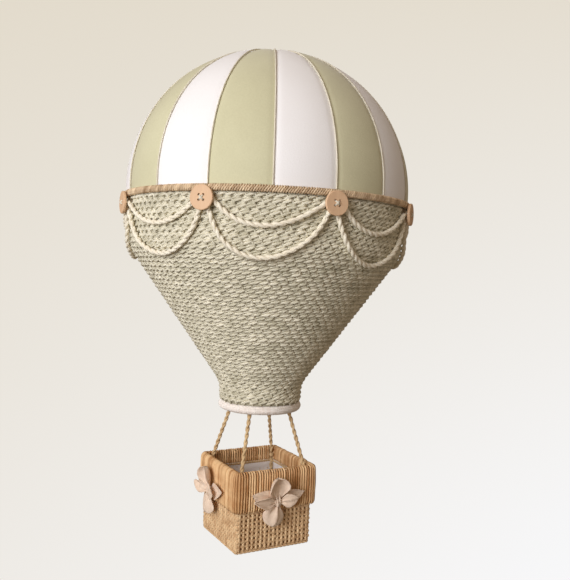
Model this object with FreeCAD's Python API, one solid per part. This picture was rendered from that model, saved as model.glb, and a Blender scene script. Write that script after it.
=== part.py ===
"""Hot-air balloon hanging decoration: a cloth-and-cord envelope with a basket slung on four ropes.

Millimetres, +Z up. The origin is the mouth of the crown eyelet that the decoration hangs from.
The basket's faces look along X and Y. Angles round the axis are measured from -Y towards +X.
"""
import FreeCAD, Part
import math
import os

# Crown eyelet
EYELET_BORE_RADIUS = 2.5
EYELET_WALL = 0.5
EYELET_FLANGE_RADIUS = 6.0
EYELET_FLANGE_THICKNESS = 0.8

# Dome: a rigid shell under cloth gores, a little more than half a ball
DOME_RADIUS = 146.0
DOME_EXTRA_DEPTH = 10.0
GORE_COUNT = 16
GORE_THICKNESS = 1.6
SHELL_THICKNESS = 3.0
PIPING_RADIUS = 0.8
ENVELOPE_TURN = -3.4

# Rim: a hoop inside, a wrapped cord outside
HOOP_DEPTH = 4.0
HOOP_HEIGHT = 8.0
WRAP_DEPTH = 3.8
WRAP_HEIGHT = 7.0
WRAP_CORNER = 1.8

# Skirt: a crocheted cover over a stiff cone
SHOULDER_DROP = 51.4
SHOULDER_INSET = 5.0
SHOULDER_BEND = 30.0
NECK_DROP = 187.9
NECK_RADIUS = 43.0
NECK_BEND = 30.0
NECK_TAPER = 0.7
SKIRT_LENGTH = 207.2
KNIT_THICKNESS = 3.2
FORM_THICKNESS = 1.6

# Neck: a wrapped hoop with a disc that carries the ropes
NECK_RING_RADIUS = 4.5
NECK_HOOP_RADIUS = 3.0
NECK_RING_OVERHANG = 1.3
DISC_THICKNESS = 2.0
NOTCH_RADIUS = 3.6

# Buttons beside every second seam
BUTTON_RADIUS = 11.0
BUTTON_THICKNESS = 2.8
BUTTON_EDGE_ROUND = 0.8
BUTTON_HOLE_RADIUS = 1.15
BUTTON_HOLE_SPACING = 4.4
BUTTON_DROP = 9.4
BUTTON_TURN = -0.9
BUTTON_CLEARANCE = 0.3
THREAD_RADIUS = 0.6
STITCH_RADIUS = 0.8

# Swag cords: two between neighbouring buttons. Points of one span, as degrees from
# its middle and depth below the rim, between ends that lie behind the buttons. Each
# span has its own droop and lean, for the upper cord and then for the lower one.
SWAG_DIAMETER = 5.0
SWAG_STAND_OFF = 0.8
SWAG_END_CLEARANCE = 0.5
UPPER_END_DEPTH = 9.5
LOWER_END_DEPTH = 14.0
UPPER_END_INSET = 1.8
UPPER_SWAG = [(-14.5, 20.5), (-7.5, 29.3), (0.5, 32.4), (8.0, 28.8), (14.8, 19.9)]
LOWER_SWAG = [(-18.8, 32.0), (-13.8, 48.2), (-6.8, 58.6), (0.6, 61.8), (7.6, 58.1), (14.3, 47.2),
              (19.0, 31.4)]
SPAN_SHAPES = [
    (1.06, -2.3, 1.02, -0.7),
    (1.03, 1.0, 1.0, 1.2),
    (0.98, -1.4, 0.97, -1.8),
    (1.02, 0.6, 0.99, 2.0),
    (0.97, 1.6, 0.96, -0.8),
    (1.03, -1.0, 1.01, 0.9),
    (0.93, 1.5, 0.93, 1.8),
    (1.0, -2.4, 0.965, -3.0),
]

# Ropes from the neck disc to the basket's inner corners
ROPE_DIAMETER = 4.4
ROPE_INSET = 4.1
ROPE_DROP = 68.0
TOP_KNOT_RADIUS = 4.2
TOP_KNOT_RISE = 6.3
CORNER_KNOT_RADIUS = 3.0
CORNER_KNOT_INSET = 2.2
CORNER_KNOT_DEPTH = 8.5
PIVOT_GAP = 1.2
KNOT_CLEARANCE = 0.4
ROPE_CLEARANCE = 2.7

# Basket: woven box, padded collar folded over its rim, lining and floor
BOX_WIDTH = 84.8
BOX_HEIGHT = 77.8
BOX_WALL = 1.4
BOX_CORNER = 2.0
COLLAR_PADDING = 5.5
COLLAR_HEIGHT = 40.5
COLLAR_FOLD = 4.5
COLLAR_TURN_IN = 15.0
COLLAR_INNER_THICKNESS = 1.2
COLLAR_CORNER = 8.0
COLLAR_ROLL = 3.0
FLOOR_THICKNESS = 1.8
LINING_THICKNESS = 0.8
LINING_CORNER = 0.5

# Cloth flowers, one on each face. Petals: lean in degrees, distance of the middle, half length, half width
FLOWER_DROP = 31.0
FLOWER_STAND_OFF = 2.6
PETAL_THICKNESS = 1.2
PETAL_TILT = 16.0
PETAL_SET_BACK = 1.0
FLOWER_CENTRE_RADIUS = 3.4
PETALS = [
    (90.0, 14.6, 11.0, 10.2),
    (163.0, 17.4, 13.6, 7.4),
    (17.0, 17.4, 13.6, 7.4),
    (255.0, 15.2, 11.2, 10.4),
]

# General fit
FIT_GAP = 0.2

# Heights and radii that follow from the sizes above
DOME_CENTRE_Z = -EYELET_FLANGE_THICKNESS - DOME_RADIUS
RIM_Z = DOME_CENTRE_Z - DOME_EXTRA_DEPTH
RIM_RADIUS = math.sqrt(DOME_RADIUS ** 2 - DOME_EXTRA_DEPTH ** 2)
SHELL_OUTER_RADIUS = DOME_RADIUS - GORE_THICKNESS
SHELL_INNER_RADIUS = SHELL_OUTER_RADIUS - SHELL_THICKNESS
EYELET_BARREL_RADIUS = EYELET_BORE_RADIUS + EYELET_WALL
EYELET_HOLE_RADIUS = EYELET_BARREL_RADIUS + FIT_GAP
SKIRT_RIM_RADIUS = RIM_RADIUS - FIT_GAP
NECK_END_RADIUS = NECK_RADIUS - NECK_TAPER
NECK_RING_Z = RIM_Z - SKIRT_LENGTH - NECK_RING_RADIUS
NECK_RING_CENTRE_RADIUS = NECK_END_RADIUS + NECK_RING_OVERHANG - NECK_RING_RADIUS
NECK_RING_INNER_RADIUS = NECK_RING_CENTRE_RADIUS - NECK_RING_RADIUS
BUTTON_Z = RIM_Z - BUTTON_DROP
WRAP_INNER_RADIUS = DOME_RADIUS + FIT_GAP / 2
SPAN_COUNT = GORE_COUNT // 2
SPAN_ANGLE = 360.0 / SPAN_COUNT
SPAN_START = ENVELOPE_TURN + BUTTON_TURN

BOX_HALF = BOX_WIDTH / 2
BOX_INNER_HALF = BOX_HALF - BOX_WALL
COLLAR_HALF = BOX_HALF + COLLAR_PADDING
COLLAR_INNER_HALF = BOX_INNER_HALF - COLLAR_INNER_THICKNESS
KNOT_Z = NECK_RING_Z - ROPE_DROP
COLLAR_TOP_Z = KNOT_Z + CORNER_KNOT_DEPTH
BOX_TOP_Z = COLLAR_TOP_Z - COLLAR_FOLD
BOX_BOTTOM_Z = BOX_TOP_Z - BOX_HEIGHT
COLLAR_BOTTOM_Z = COLLAR_TOP_Z - COLLAR_HEIGHT
TURN_IN_Z = COLLAR_TOP_Z - COLLAR_TURN_IN
ROPE_TOP_HALF = (NECK_RING_INNER_RADIUS - ROPE_INSET) / math.sqrt(2)
ROPE_END_HALF = COLLAR_INNER_HALF - CORNER_KNOT_INSET

CORNERS = [(-1, -1), (1, -1), (1, 1), (-1, 1)]
AXIS = FreeCAD.Vector(0, 0, 1)
ORIGIN = FreeCAD.Vector(0, 0, 0)


def vector(x, y, z):
    return FreeCAD.Vector(x, y, z)


def export(name, shape):
    """Write one node's solids."""
    shape.exportStep("parts/" + name + ".step")


def face_round(shape, angle):
    """Turn a shape drawn towards +X so that it looks along the given angle."""
    turned = shape.copy()
    turned.rotate(ORIGIN, AXIS, angle - 90.0)
    return turned


def around(angle, radius, z):
    """The point at an angle round the axis."""
    turn = math.radians(angle)
    return vector(radius * math.sin(turn), -radius * math.cos(turn), z)


def revolve(edges, angle=360.0):
    """The solid of a closed outline in the XZ plane, turned about the axis."""
    return Part.Face(Part.Wire(edges)).revolve(ORIGIN, AXIS, angle)


def tube(outer, inner, low, high):
    """A straight ring about the axis."""
    shape = Part.makeCylinder(outer, high - low, vector(0, 0, low))
    return shape.cut(Part.makeCylinder(inner, high - low, vector(0, 0, low)))


def rounded_box(half, low, high, corner):
    """A square block about the axis with round upright edges."""
    block = Part.makeBox(2 * half, 2 * half, high - low, vector(-half, -half, low))
    upright = [edge for edge in block.Edges if abs(edge.BoundBox.ZLength - (high - low)) < 1e-6]
    return block.makeFillet(corner, upright)


def smooth_path(points, radii):
    """Straight runs through the points with a tangent arc of its own radius at each inner one."""
    edges = []
    start = points[0]
    for before, corner, after, radius in zip(points, points[1:], points[2:], radii):
        back = (before - corner).normalize()
        ahead = (after - corner).normalize()
        half_turn = (math.pi - back.getAngle(ahead)) / 2
        reach = radius * math.tan(half_turn)
        middle = (back + ahead).normalize()
        arc_start = corner + back * reach
        arc_end = corner + ahead * reach
        arc_middle = corner + middle * (radius / math.cos(half_turn) - radius)
        edges.append(Part.LineSegment(start, arc_start).toShape())
        edges.append(Part.Arc(arc_start, arc_middle, arc_end).toShape())
        start = arc_end
    edges.append(Part.LineSegment(start, points[-1]).toShape())
    return edges


def arc_radii(points):
    """The largest arcs that a cord's runs leave room for."""
    radii = []
    for before, corner, after in zip(points, points[1:], points[2:]):
        turn = math.pi - (before - corner).getAngle(after - corner)
        shorter = min((before - corner).Length, (after - corner).Length)
        radii.append(0.45 * shorter / math.tan(turn / 2))
    return radii


def cord(name, points, diameter):
    """A round tube along a cord's route, checked against its section times its length."""
    radii = arc_radii(points)
    path = Part.Wire(smooth_path(points, radii))
    start_way = (points[1] - points[0]).normalize()
    section = Part.Wire(Part.makeCircle(diameter / 2, points[0], start_way))
    shape = Part.Solid(path.makePipeShell([section], True, False))
    share = shape.Volume / (math.pi * diameter ** 2 / 4 * path.Length)
    report = "%s: length %.1f, volume %.4f of section x length" % (name, path.Length, share)
    if radii:
        report += ", radii " + " ".join("%.0f" % radius for radius in radii)
    print(report)
    export(name, shape)
    return shape


# Crown

def crown_eyelet():
    """A flanged barrel through the crown and the washer that it is set against."""
    under = DOME_CENTRE_Z + math.sqrt(SHELL_INNER_RADIUS ** 2 - EYELET_HOLE_RADIUS ** 2)
    washer_bottom = under - EYELET_FLANGE_THICKNESS
    flange = tube(EYELET_FLANGE_RADIUS, EYELET_BORE_RADIUS, -EYELET_FLANGE_THICKNESS, 0)
    barrel = tube(EYELET_BARREL_RADIUS, EYELET_BORE_RADIUS, washer_bottom, 0)
    rim_drop = SHELL_INNER_RADIUS - math.sqrt(SHELL_INNER_RADIUS ** 2 - EYELET_FLANGE_RADIUS ** 2)
    washer_top = under - rim_drop
    washer = tube(EYELET_FLANGE_RADIUS, EYELET_BARREL_RADIUS, washer_bottom, washer_top)
    print("eyelet bore length %.2f" % -washer_bottom)
    export("crown_eyelet", Part.makeCompound([flange.fuse(barrel).removeSplitter(), washer]))


# Dome

def dome_section(outer, inner):
    """The outline between two spheres, from the eyelet hole down to the rim."""
    def point(radius, angle):
        return vector(radius * math.cos(angle), 0, DOME_CENTRE_Z + radius * math.sin(angle))

    def limits(radius):
        return -math.asin(DOME_EXTRA_DEPTH / radius), math.acos(EYELET_HOLE_RADIUS / radius)

    edges = []
    ends = []
    for radius in (outer, inner):
        low, high = limits(radius)
        ends.append((point(radius, low), point(radius, high)))
        edges.append(Part.Arc(ends[-1][0], point(radius, (low + high) / 2), ends[-1][1]).toShape())
    edges.insert(1, Part.LineSegment(ends[0][1], ends[1][1]).toShape())
    edges.append(Part.LineSegment(ends[1][0], ends[0][0]).toShape())
    return Part.__sortEdges__(edges)


def dome():
    """The shell, its cloth gores and the cord piped over each seam."""
    export("dome_shell", revolve(dome_section(SHELL_OUTER_RADIUS, SHELL_INNER_RADIUS)))
    step = 360.0 / GORE_COUNT
    for number in range(GORE_COUNT):
        colour = "sage" if number % 2 == 0 else "white"
        gore = revolve(dome_section(DOME_RADIUS, SHELL_OUTER_RADIUS), step)
        seam = ENVELOPE_TURN + number * step
        export("gore_%s_%02d" % (colour, number + 1), face_round(gore, seam))

    bead_radius = DOME_RADIUS + PIPING_RADIUS
    top = math.acos((EYELET_FLANGE_RADIUS + PIPING_RADIUS) / bead_radius)
    bottom = math.asin((WRAP_HEIGHT / 2 + PIPING_RADIUS - DOME_EXTRA_DEPTH) / bead_radius)
    points = [vector(bead_radius * math.cos(angle), 0, DOME_CENTRE_Z + bead_radius * math.sin(angle))
              for angle in (bottom, (bottom + top) / 2, top)]
    path = Part.Wire(Part.Arc(*points).toShape())
    way = vector(-math.sin(bottom), 0, math.cos(bottom))
    section = Part.Wire(Part.makeCircle(PIPING_RADIUS, points[0], way))
    bead = Part.Solid(path.makePipeShell([section], True, False))
    beads = [face_round(bead, ENVELOPE_TURN + number * step) for number in range(GORE_COUNT)]
    export("seam_piping", Part.makeCompound(beads))


# Rim

def rim():
    """The hoop inside the joint of dome and skirt, and the wrapped cord outside it."""
    dome_inside = math.sqrt(SHELL_INNER_RADIUS ** 2 - DOME_EXTRA_DEPTH ** 2)
    skirt_inside = SKIRT_RIM_RADIUS - KNIT_THICKNESS - FORM_THICKNESS
    taper = HOOP_HEIGHT / 2 * SHOULDER_INSET / SHOULDER_DROP
    reach = min(dome_inside, skirt_inside) - taper - FIT_GAP
    hoop = tube(reach, reach - HOOP_DEPTH, RIM_Z - HOOP_HEIGHT / 2, RIM_Z + HOOP_HEIGHT / 2)
    export("equator_hoop", hoop)

    inner = WRAP_INNER_RADIUS
    wrap = tube(inner + WRAP_DEPTH, inner, RIM_Z - WRAP_HEIGHT / 2, RIM_Z + WRAP_HEIGHT / 2)
    outside = [edge for edge in wrap.Edges
               if abs(edge.BoundBox.XMax - inner - WRAP_DEPTH) < 1e-3 and edge.BoundBox.ZLength < 1e-3]
    export("equator_wrap", wrap.makeFillet(WRAP_CORNER, outside))


# Skirt

SKIRT_CORNERS = [
    (SKIRT_RIM_RADIUS, 0.0),
    (SKIRT_RIM_RADIUS - SHOULDER_INSET, SHOULDER_DROP),
    (NECK_RADIUS, NECK_DROP),
    (NECK_END_RADIUS, SKIRT_LENGTH),
]


def skirt_radius(depth):
    """The skirt's outer radius at a depth below the rim, with its corners left sharp."""
    for (upper_radius, upper), (lower_radius, lower) in zip(SKIRT_CORNERS, SKIRT_CORNERS[1:]):
        if depth <= lower:
            return upper_radius + (lower_radius - upper_radius) * (depth - upper) / (lower - upper)
    return SKIRT_CORNERS[-1][0]


def skirt_slope(depth):
    """The angle of the skirt's side from upright at a depth."""
    for (upper_radius, upper), (lower_radius, lower) in zip(SKIRT_CORNERS, SKIRT_CORNERS[1:]):
        if depth <= lower:
            return math.atan2(upper_radius - lower_radius, lower - upper)
    return 0.0


def skirt_line(inset):
    """The corners of the skirt's side moved square to it by the inset."""
    depths = [depth for _, depth in SKIRT_CORNERS]
    slopes = [skirt_slope(depth - 1e-6) for depth in depths[1:]]
    shifts = [inset / math.cos(slope) for slope in slopes]
    corners = [vector(SKIRT_RIM_RADIUS - shifts[0], 0, RIM_Z)]
    for number in (1, 2):
        above = math.tan(slopes[number - 1])
        below = math.tan(slopes[number])
        depth = depths[number] + (shifts[number - 1] - shifts[number]) / (below - above)
        radius = SKIRT_CORNERS[number][0] - shifts[number] - (depth - depths[number]) * below
        corners.append(vector(radius, 0, RIM_Z - depth))
    corners.append(vector(NECK_END_RADIUS - shifts[-1], 0, RIM_Z - SKIRT_LENGTH))
    return smooth_path(corners, [SHOULDER_BEND - inset, NECK_BEND + inset]), corners[0], corners[-1]


def skirt_wall(outer_inset, inner_inset):
    """One thickness of the skirt."""
    outer, outer_top, outer_end = skirt_line(outer_inset)
    inner, inner_top, inner_end = skirt_line(inner_inset)
    edges = outer + [Part.LineSegment(outer_end, inner_end).toShape()] + inner
    edges.append(Part.LineSegment(inner_top, outer_top).toShape())
    return revolve(Part.__sortEdges__(edges))


def skirt():
    """The crocheted cover and the stiff cone under it."""
    export("knit_skirt", skirt_wall(0, KNIT_THICKNESS))
    export("skirt_form", skirt_wall(KNIT_THICKNESS, KNIT_THICKNESS + FORM_THICKNESS))


# Neck

def neck():
    """The wrapped hoop at the mouth and the notched disc that the ropes hang from."""
    place = vector(0, 0, NECK_RING_Z)
    core = Part.makeTorus(NECK_RING_CENTRE_RADIUS, NECK_HOOP_RADIUS, place)
    export("neck_hoop", core)
    export("neck_wrap", Part.makeTorus(NECK_RING_CENTRE_RADIUS, NECK_RING_RADIUS, place).cut(core))

    radius = NECK_RING_INNER_RADIUS - FIT_GAP
    disc = Part.makeCylinder(radius, DISC_THICKNESS, place - AXIS * (DISC_THICKNESS / 2))
    for side_x, side_y in CORNERS:
        inner = vector(side_x * ROPE_TOP_HALF, side_y * ROPE_TOP_HALF, NECK_RING_Z - DISC_THICKNESS)
        disc = disc.cut(Part.makeCylinder(NOTCH_RADIUS, 2 * DISC_THICKNESS, inner))
        slot = Part.makeBox(radius, 2 * NOTCH_RADIUS, 2 * DISC_THICKNESS, vector(0, -NOTCH_RADIUS, 0))
        slot.rotate(ORIGIN, AXIS, math.degrees(math.atan2(side_y, side_x)))
        slot.translate(inner)
        disc = disc.cut(slot)
    export("neck_disc", disc)


# Buttons and swags

def button_solids():
    """One button and its stitches, drawn facing +X at the rim."""
    under = max(WRAP_INNER_RADIUS + WRAP_DEPTH, swag_away(UPPER_END_DEPTH) + SWAG_DIAMETER / 2)
    back = under + BUTTON_CLEARANCE
    facing = vector(1, 0, 0)
    disc = Part.makeCylinder(BUTTON_RADIUS, BUTTON_THICKNESS, vector(back, 0, BUTTON_Z), facing)
    disc = disc.makeFillet(BUTTON_EDGE_ROUND, [edge for edge in disc.Edges if edge.Closed])
    half = BUTTON_HOLE_SPACING / 2
    face = back + BUTTON_THICKNESS
    anchor = SKIRT_RIM_RADIUS + FIT_GAP
    holes = [(side_y * half, BUTTON_Z + side_z * half) for side_y, side_z in CORNERS]
    top = face + STITCH_RADIUS
    threads = []
    for number, (y, z) in enumerate(holes):
        disc = disc.cut(Part.makeCylinder(BUTTON_HOLE_RADIUS, 2 * BUTTON_THICKNESS,
                                          vector(back - BUTTON_THICKNESS / 2, y, z), facing))
        threads.append(Part.makeCylinder(THREAD_RADIUS, top - anchor, vector(anchor, y, z), facing))
        if number < 2:
            far_y, far_z = holes[number + 2]
            way = vector(0, far_y - y, far_z - z)
            overrun = way * (STITCH_RADIUS / way.Length)
            length = way.Length + 2 * STITCH_RADIUS
            threads.append(Part.makeCylinder(STITCH_RADIUS, length, vector(top, y, z) - overrun, way))
    stitches = threads[0].multiFuse(threads[1:])
    return disc, stitches


def buttons():
    """A sewn button beside every second seam."""
    disc, stitches = button_solids()
    angles = [SPAN_START + number * SPAN_ANGLE for number in range(SPAN_COUNT)]
    export("buttons", Part.makeCompound([face_round(disc, angle) for angle in angles]))
    export("button_threads", Part.makeCompound([face_round(stitches, angle) for angle in angles]))


def swag_away(depth):
    """A swag's middle radius at a depth, clear of the skirt's slope."""
    return skirt_radius(depth) + (SWAG_DIAMETER / 2 + SWAG_STAND_OFF) / math.cos(skirt_slope(depth))


def swag_points(route, span, end_depth, end_angle, droop, lean):
    """A swag's route laid over the skirt in one span."""
    middle = SPAN_START + (span + 0.5) * SPAN_ANGLE
    points = [around(middle - end_angle, swag_away(end_depth), RIM_Z - end_depth)]
    for angle, depth in route:
        depth = end_depth + (depth - end_depth) * droop
        angle += lean * (1 - (angle / end_angle) ** 2)
        points.append(around(middle + angle, swag_away(depth), RIM_Z - depth))
    points.append(around(middle + end_angle, swag_away(end_depth), RIM_Z - end_depth))
    return points


def swags():
    """Two drooping cords in each span, whose lower ends meet their neighbours' behind a button."""
    apart = (SWAG_DIAMETER + SWAG_END_CLEARANCE) / 2
    lower_end = SPAN_ANGLE / 2 - math.degrees(apart / swag_away(LOWER_END_DEPTH))
    upper_end = lower_end - UPPER_END_INSET
    for span, (upper_droop, upper_lean, lower_droop, lower_lean) in enumerate(SPAN_SHAPES):
        upper = swag_points(UPPER_SWAG, span, UPPER_END_DEPTH, upper_end, upper_droop, upper_lean)
        lower = swag_points(LOWER_SWAG, span, LOWER_END_DEPTH, lower_end, lower_droop, lower_lean)
        cord("swag_upper_%d" % (span + 1), upper, SWAG_DIAMETER)
        cord("swag_lower_%d" % (span + 1), lower, SWAG_DIAMETER)


# Ropes

def rope_line(side_x, side_y):
    """A rope's upper and lower pivots."""
    top = vector(side_x * ROPE_TOP_HALF, side_y * ROPE_TOP_HALF, NECK_RING_Z)
    end = vector(side_x * ROPE_END_HALF, side_y * ROPE_END_HALF, KNOT_Z)
    return top, end


def ropes():
    """The four ropes with the knots at their two ends."""
    knots = []
    for number, (side_x, side_y) in enumerate(CORNERS):
        top, end = rope_line(side_x, side_y)
        way = (end - top).normalize()
        export("rope_tie_%d" % (number + 1), Part.makeSphere(TOP_KNOT_RADIUS, top - way * TOP_KNOT_RISE))
        last = end - way * (CORNER_KNOT_RADIUS + PIVOT_GAP)
        cord("rope_%d" % (number + 1), [top, last], ROPE_DIAMETER)
        knots.append(Part.makeSphere(CORNER_KNOT_RADIUS, end))
        print("rope %d pivots %s %s" % (number + 1, tuple(top), tuple(end)))
    export("corner_knot_1", knots[0])
    export("corner_knots", Part.makeCompound(knots[1:]))


# Basket

def knot_pockets():
    """Room for each rope and its corner knot to turn."""
    pockets = []
    for side_x, side_y in CORNERS:
        top, end = rope_line(side_x, side_y)
        way = (top - end).normalize()
        pockets.append(Part.makeSphere(CORNER_KNOT_RADIUS + KNOT_CLEARANCE, end))
        pockets.append(Part.makeCylinder(ROPE_DIAMETER / 2 + ROPE_CLEARANCE, 2 * CORNER_KNOT_DEPTH, end, way))
    return pockets


def basket():
    """The woven box, the collar folded over its rim, the lining and the stiff floor."""
    inside = rounded_box(BOX_INNER_HALF, BOX_BOTTOM_Z + BOX_WALL, BOX_TOP_Z, BOX_CORNER / 2)
    box = rounded_box(BOX_HALF, BOX_BOTTOM_Z, BOX_TOP_Z, BOX_CORNER).cut(inside)

    collar = rounded_box(COLLAR_HALF, COLLAR_BOTTOM_Z, COLLAR_TOP_Z, COLLAR_CORNER)
    rim_edges = [edge for edge in collar.Edges if edge.BoundBox.ZLength < 1e-6]
    collar = collar.makeFillet(COLLAR_ROLL, rim_edges)
    mouth = rounded_box(COLLAR_INNER_HALF, COLLAR_BOTTOM_Z, COLLAR_TOP_Z, BOX_CORNER / 2)
    below = rounded_box(BOX_INNER_HALF, COLLAR_BOTTOM_Z, TURN_IN_Z, BOX_CORNER / 2)
    slot = rounded_box(BOX_HALF, COLLAR_BOTTOM_Z, BOX_TOP_Z, BOX_CORNER)
    slot = slot.cut(rounded_box(BOX_INNER_HALF, COLLAR_BOTTOM_Z, BOX_TOP_Z, BOX_CORNER / 2))
    for room in [mouth, below, slot] + knot_pockets():
        collar = collar.cut(room)

    floor_low = BOX_BOTTOM_Z + BOX_WALL
    floor_high = floor_low + FLOOR_THICKNESS
    half = BOX_INNER_HALF - FIT_GAP
    lining = rounded_box(half, floor_high, TURN_IN_Z - FIT_GAP, BOX_CORNER / 2)
    hollow = rounded_box(half - LINING_THICKNESS, floor_high + LINING_THICKNESS, TURN_IN_Z, LINING_CORNER)
    lining = lining.cut(hollow)
    for pocket in knot_pockets():
        lining = lining.cut(pocket)

    export("basket_box", box)
    export("basket_collar", collar)
    export("basket_lining", lining)
    export("basket_floor", rounded_box(half, floor_low, floor_high, BOX_CORNER / 2))


def flower():
    """Four petals and the gathered middle, drawn facing +X on a basket face."""
    face = COLLAR_HALF
    height = COLLAR_TOP_Z - FLOWER_DROP
    petals = []
    for lean, distance, half_length, half_width in PETALS:
        outline = Part.Ellipse(ORIGIN, half_length, half_width).toShape()
        petal = Part.Face(Part.Wire(outline)).extrude(vector(0, 0, PETAL_THICKNESS))
        petal.translate(vector(distance, 0, 0))
        petal.rotate(ORIGIN, vector(0, 1, 0), -PETAL_TILT)
        petal.rotate(ORIGIN, AXIS, lean)
        petal.rotate(ORIGIN, vector(1, 0, 0), 90)
        petal.rotate(ORIGIN, AXIS, 90)
        petal.translate(vector(face + FLOWER_STAND_OFF - PETAL_SET_BACK, 0, height))
        petals.append(petal)
    centre = Part.makeSphere(FLOWER_CENTRE_RADIUS, vector(face + FLOWER_STAND_OFF, 0, height))
    middle = vector(face, 0, height)
    stalk = Part.makeCylinder(FLOWER_CENTRE_RADIUS / 2, FLOWER_STAND_OFF, middle, vector(1, 0, 0))
    backing = Part.makeBox(FLOWER_CENTRE_RADIUS, 4 * FLOWER_CENTRE_RADIUS, 4 * FLOWER_CENTRE_RADIUS,
                           vector(face - FLOWER_CENTRE_RADIUS, -2 * FLOWER_CENTRE_RADIUS,
                                  height - 2 * FLOWER_CENTRE_RADIUS))
    return petals, centre.fuse(stalk).cut(backing)


def flowers():
    """The same flower on each of the four faces."""
    petals, centre = flower()
    turns = (0, 90, 180, 270)
    all_petals = [face_round(petal, turn) for turn in turns for petal in petals]
    export("flower_petals", Part.makeCompound(all_petals))
    export("flower_centres", Part.makeCompound([face_round(centre, turn) for turn in turns]))


os.makedirs("parts", exist_ok=True)
crown_eyelet()
dome()
rim()
skirt()
neck()
buttons()
swags()
ropes()
basket()
flowers()
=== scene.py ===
"""Hot-air balloon hanging decoration: felt dome, crocheted skirt, button swags and a raffia basket on ropes.

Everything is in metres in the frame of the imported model: +Z up, the origin at the mouth of the crown
eyelet, the basket's faces along X and Y. Angles round the axis are measured from -Y towards +X.
"""

import logging
import math
from dataclasses import dataclass, field
from functools import cache
from typing import Callable, Sequence

import bpy
import numpy as np
from mathutils import Euler, Matrix, Vector


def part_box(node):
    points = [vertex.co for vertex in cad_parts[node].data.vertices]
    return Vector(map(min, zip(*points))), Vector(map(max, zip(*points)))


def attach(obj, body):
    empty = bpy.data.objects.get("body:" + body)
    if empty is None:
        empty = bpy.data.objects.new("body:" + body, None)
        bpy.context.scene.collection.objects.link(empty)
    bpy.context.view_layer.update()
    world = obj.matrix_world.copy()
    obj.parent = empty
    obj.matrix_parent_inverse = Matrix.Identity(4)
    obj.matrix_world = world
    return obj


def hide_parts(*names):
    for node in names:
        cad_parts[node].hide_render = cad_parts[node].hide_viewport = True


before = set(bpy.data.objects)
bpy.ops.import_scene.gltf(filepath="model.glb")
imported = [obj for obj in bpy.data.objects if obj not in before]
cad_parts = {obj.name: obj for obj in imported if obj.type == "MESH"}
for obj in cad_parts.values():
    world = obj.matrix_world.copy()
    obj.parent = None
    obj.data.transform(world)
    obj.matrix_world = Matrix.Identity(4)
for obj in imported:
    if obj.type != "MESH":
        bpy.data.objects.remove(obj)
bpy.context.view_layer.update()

MM = 0.001
TURN = 2.0 * math.pi
UP = Vector((0.0, 0.0, 1.0))
LOG = logging.getLogger("balloon")

Colour = tuple[float, float, float]
Line = np.ndarray
Socket = bpy.types.NodeSocket


# Places shared by the sub-assemblies, in metres and degrees

DOME_RADIUS = 146.0 * MM
DOME_CENTRE_Z = -146.8 * MM
RIM_Z = (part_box("equator_wrap")[0].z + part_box("equator_wrap")[1].z) / 2
NECK_Z = -368.5 * MM
GORE_COUNT = 16
GORE_ANGLE = 360.0 / GORE_COUNT
SPAN_COUNT = 8
SPAN_ANGLE = 360.0 / SPAN_COUNT
ENVELOPE_TURN = -3.4
SPAN_START = ENVELOPE_TURN - 0.9
CORNERS = [(-1, -1), (1, -1), (1, 1), (-1, 1)]


def around(angle: float, radius: float, z: float) -> Vector:
    """The point at an angle in degrees round the axis."""
    turn = math.radians(angle)
    return Vector((radius * math.sin(turn), -radius * math.cos(turn), z))


def outward(angle: float, lean: float = 0.0) -> Vector:
    """The direction away from the axis at an angle, leaned down by lean degrees."""
    slope = math.radians(lean)
    flat = around(angle, 1.0, 0.0)
    return Vector((flat.x * math.cos(slope), flat.y * math.cos(slope), -math.sin(slope)))


def full_turn(count: int, whole: float = TURN) -> np.ndarray:
    """Evenly spaced angles round a circle, in the unit of the whole turn."""
    return np.linspace(0.0, whole, count + 1)[:-1]


def quarter(side: int) -> Matrix:
    """The turn from the front face to another side."""
    return Matrix.Rotation(math.radians(90.0 * side), 4, "Z")


def smooth_step(value: float) -> float:
    """A soft ramp from 0 to 1."""
    value = min(1.0, max(0.0, value))
    return value * value * (3.0 - 2.0 * value)


def smooth_noise(chance: np.random.Generator, count: int, spacing: int) -> np.ndarray:
    """Slow random values between -1 and 1 along a line."""
    knots = chance.uniform(-1.0, 1.0, count // spacing + 3)
    return np.interp(np.arange(count) / spacing, np.arange(len(knots)), knots)


# Lines

def lengths_along(line: Line) -> np.ndarray:
    """The distance along a line at each of its points."""
    steps = np.linalg.norm(np.diff(line, axis=0), axis=1)
    return np.concatenate([[0.0], np.cumsum(steps)])


def resample(line: Sequence, step: float) -> Line:
    """Points about a step apart along a line, ends kept."""
    line = np.asarray(line, float)
    along = lengths_along(line)
    wanted = np.linspace(0.0, along[-1], max(2, int(round(along[-1] / step)) + 1))
    return np.stack([np.interp(wanted, along, line[:, axis]) for axis in range(3)], axis=1)


def bezier(start: np.ndarray, pull: np.ndarray, end: np.ndarray, share: float | np.ndarray) -> np.ndarray:
    """A point, or points, of the curve from start to end that leans towards pull."""
    return (1 - share) ** 2 * start + 2 * share * (1 - share) * pull + share ** 2 * end


def square_directions(line: Line, closed: bool = False) -> tuple[Line, Line]:
    """Two directions square to a line, carried along it without twist."""
    if closed:
        tangents = np.roll(line, -1, axis=0) - np.roll(line, 1, axis=0)
    else:
        tangents = np.gradient(line, axis=0)
    tangents /= np.maximum(np.linalg.norm(tangents, axis=1, keepdims=True), 1e-12)
    seed = np.array([0.0, 0.0, 1.0]) if abs(tangents[0][2]) < 0.9 else np.array([1.0, 0.0, 0.0])
    normal = seed - tangents[0] * seed.dot(tangents[0])
    normals = [normal / np.linalg.norm(normal)]
    for tangent in tangents[1:]:
        normal = normals[-1] - tangent * normals[-1].dot(tangent)
        normals.append(normal / max(np.linalg.norm(normal), 1e-12))
    return np.array(normals), np.cross(tangents, normals)


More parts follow.
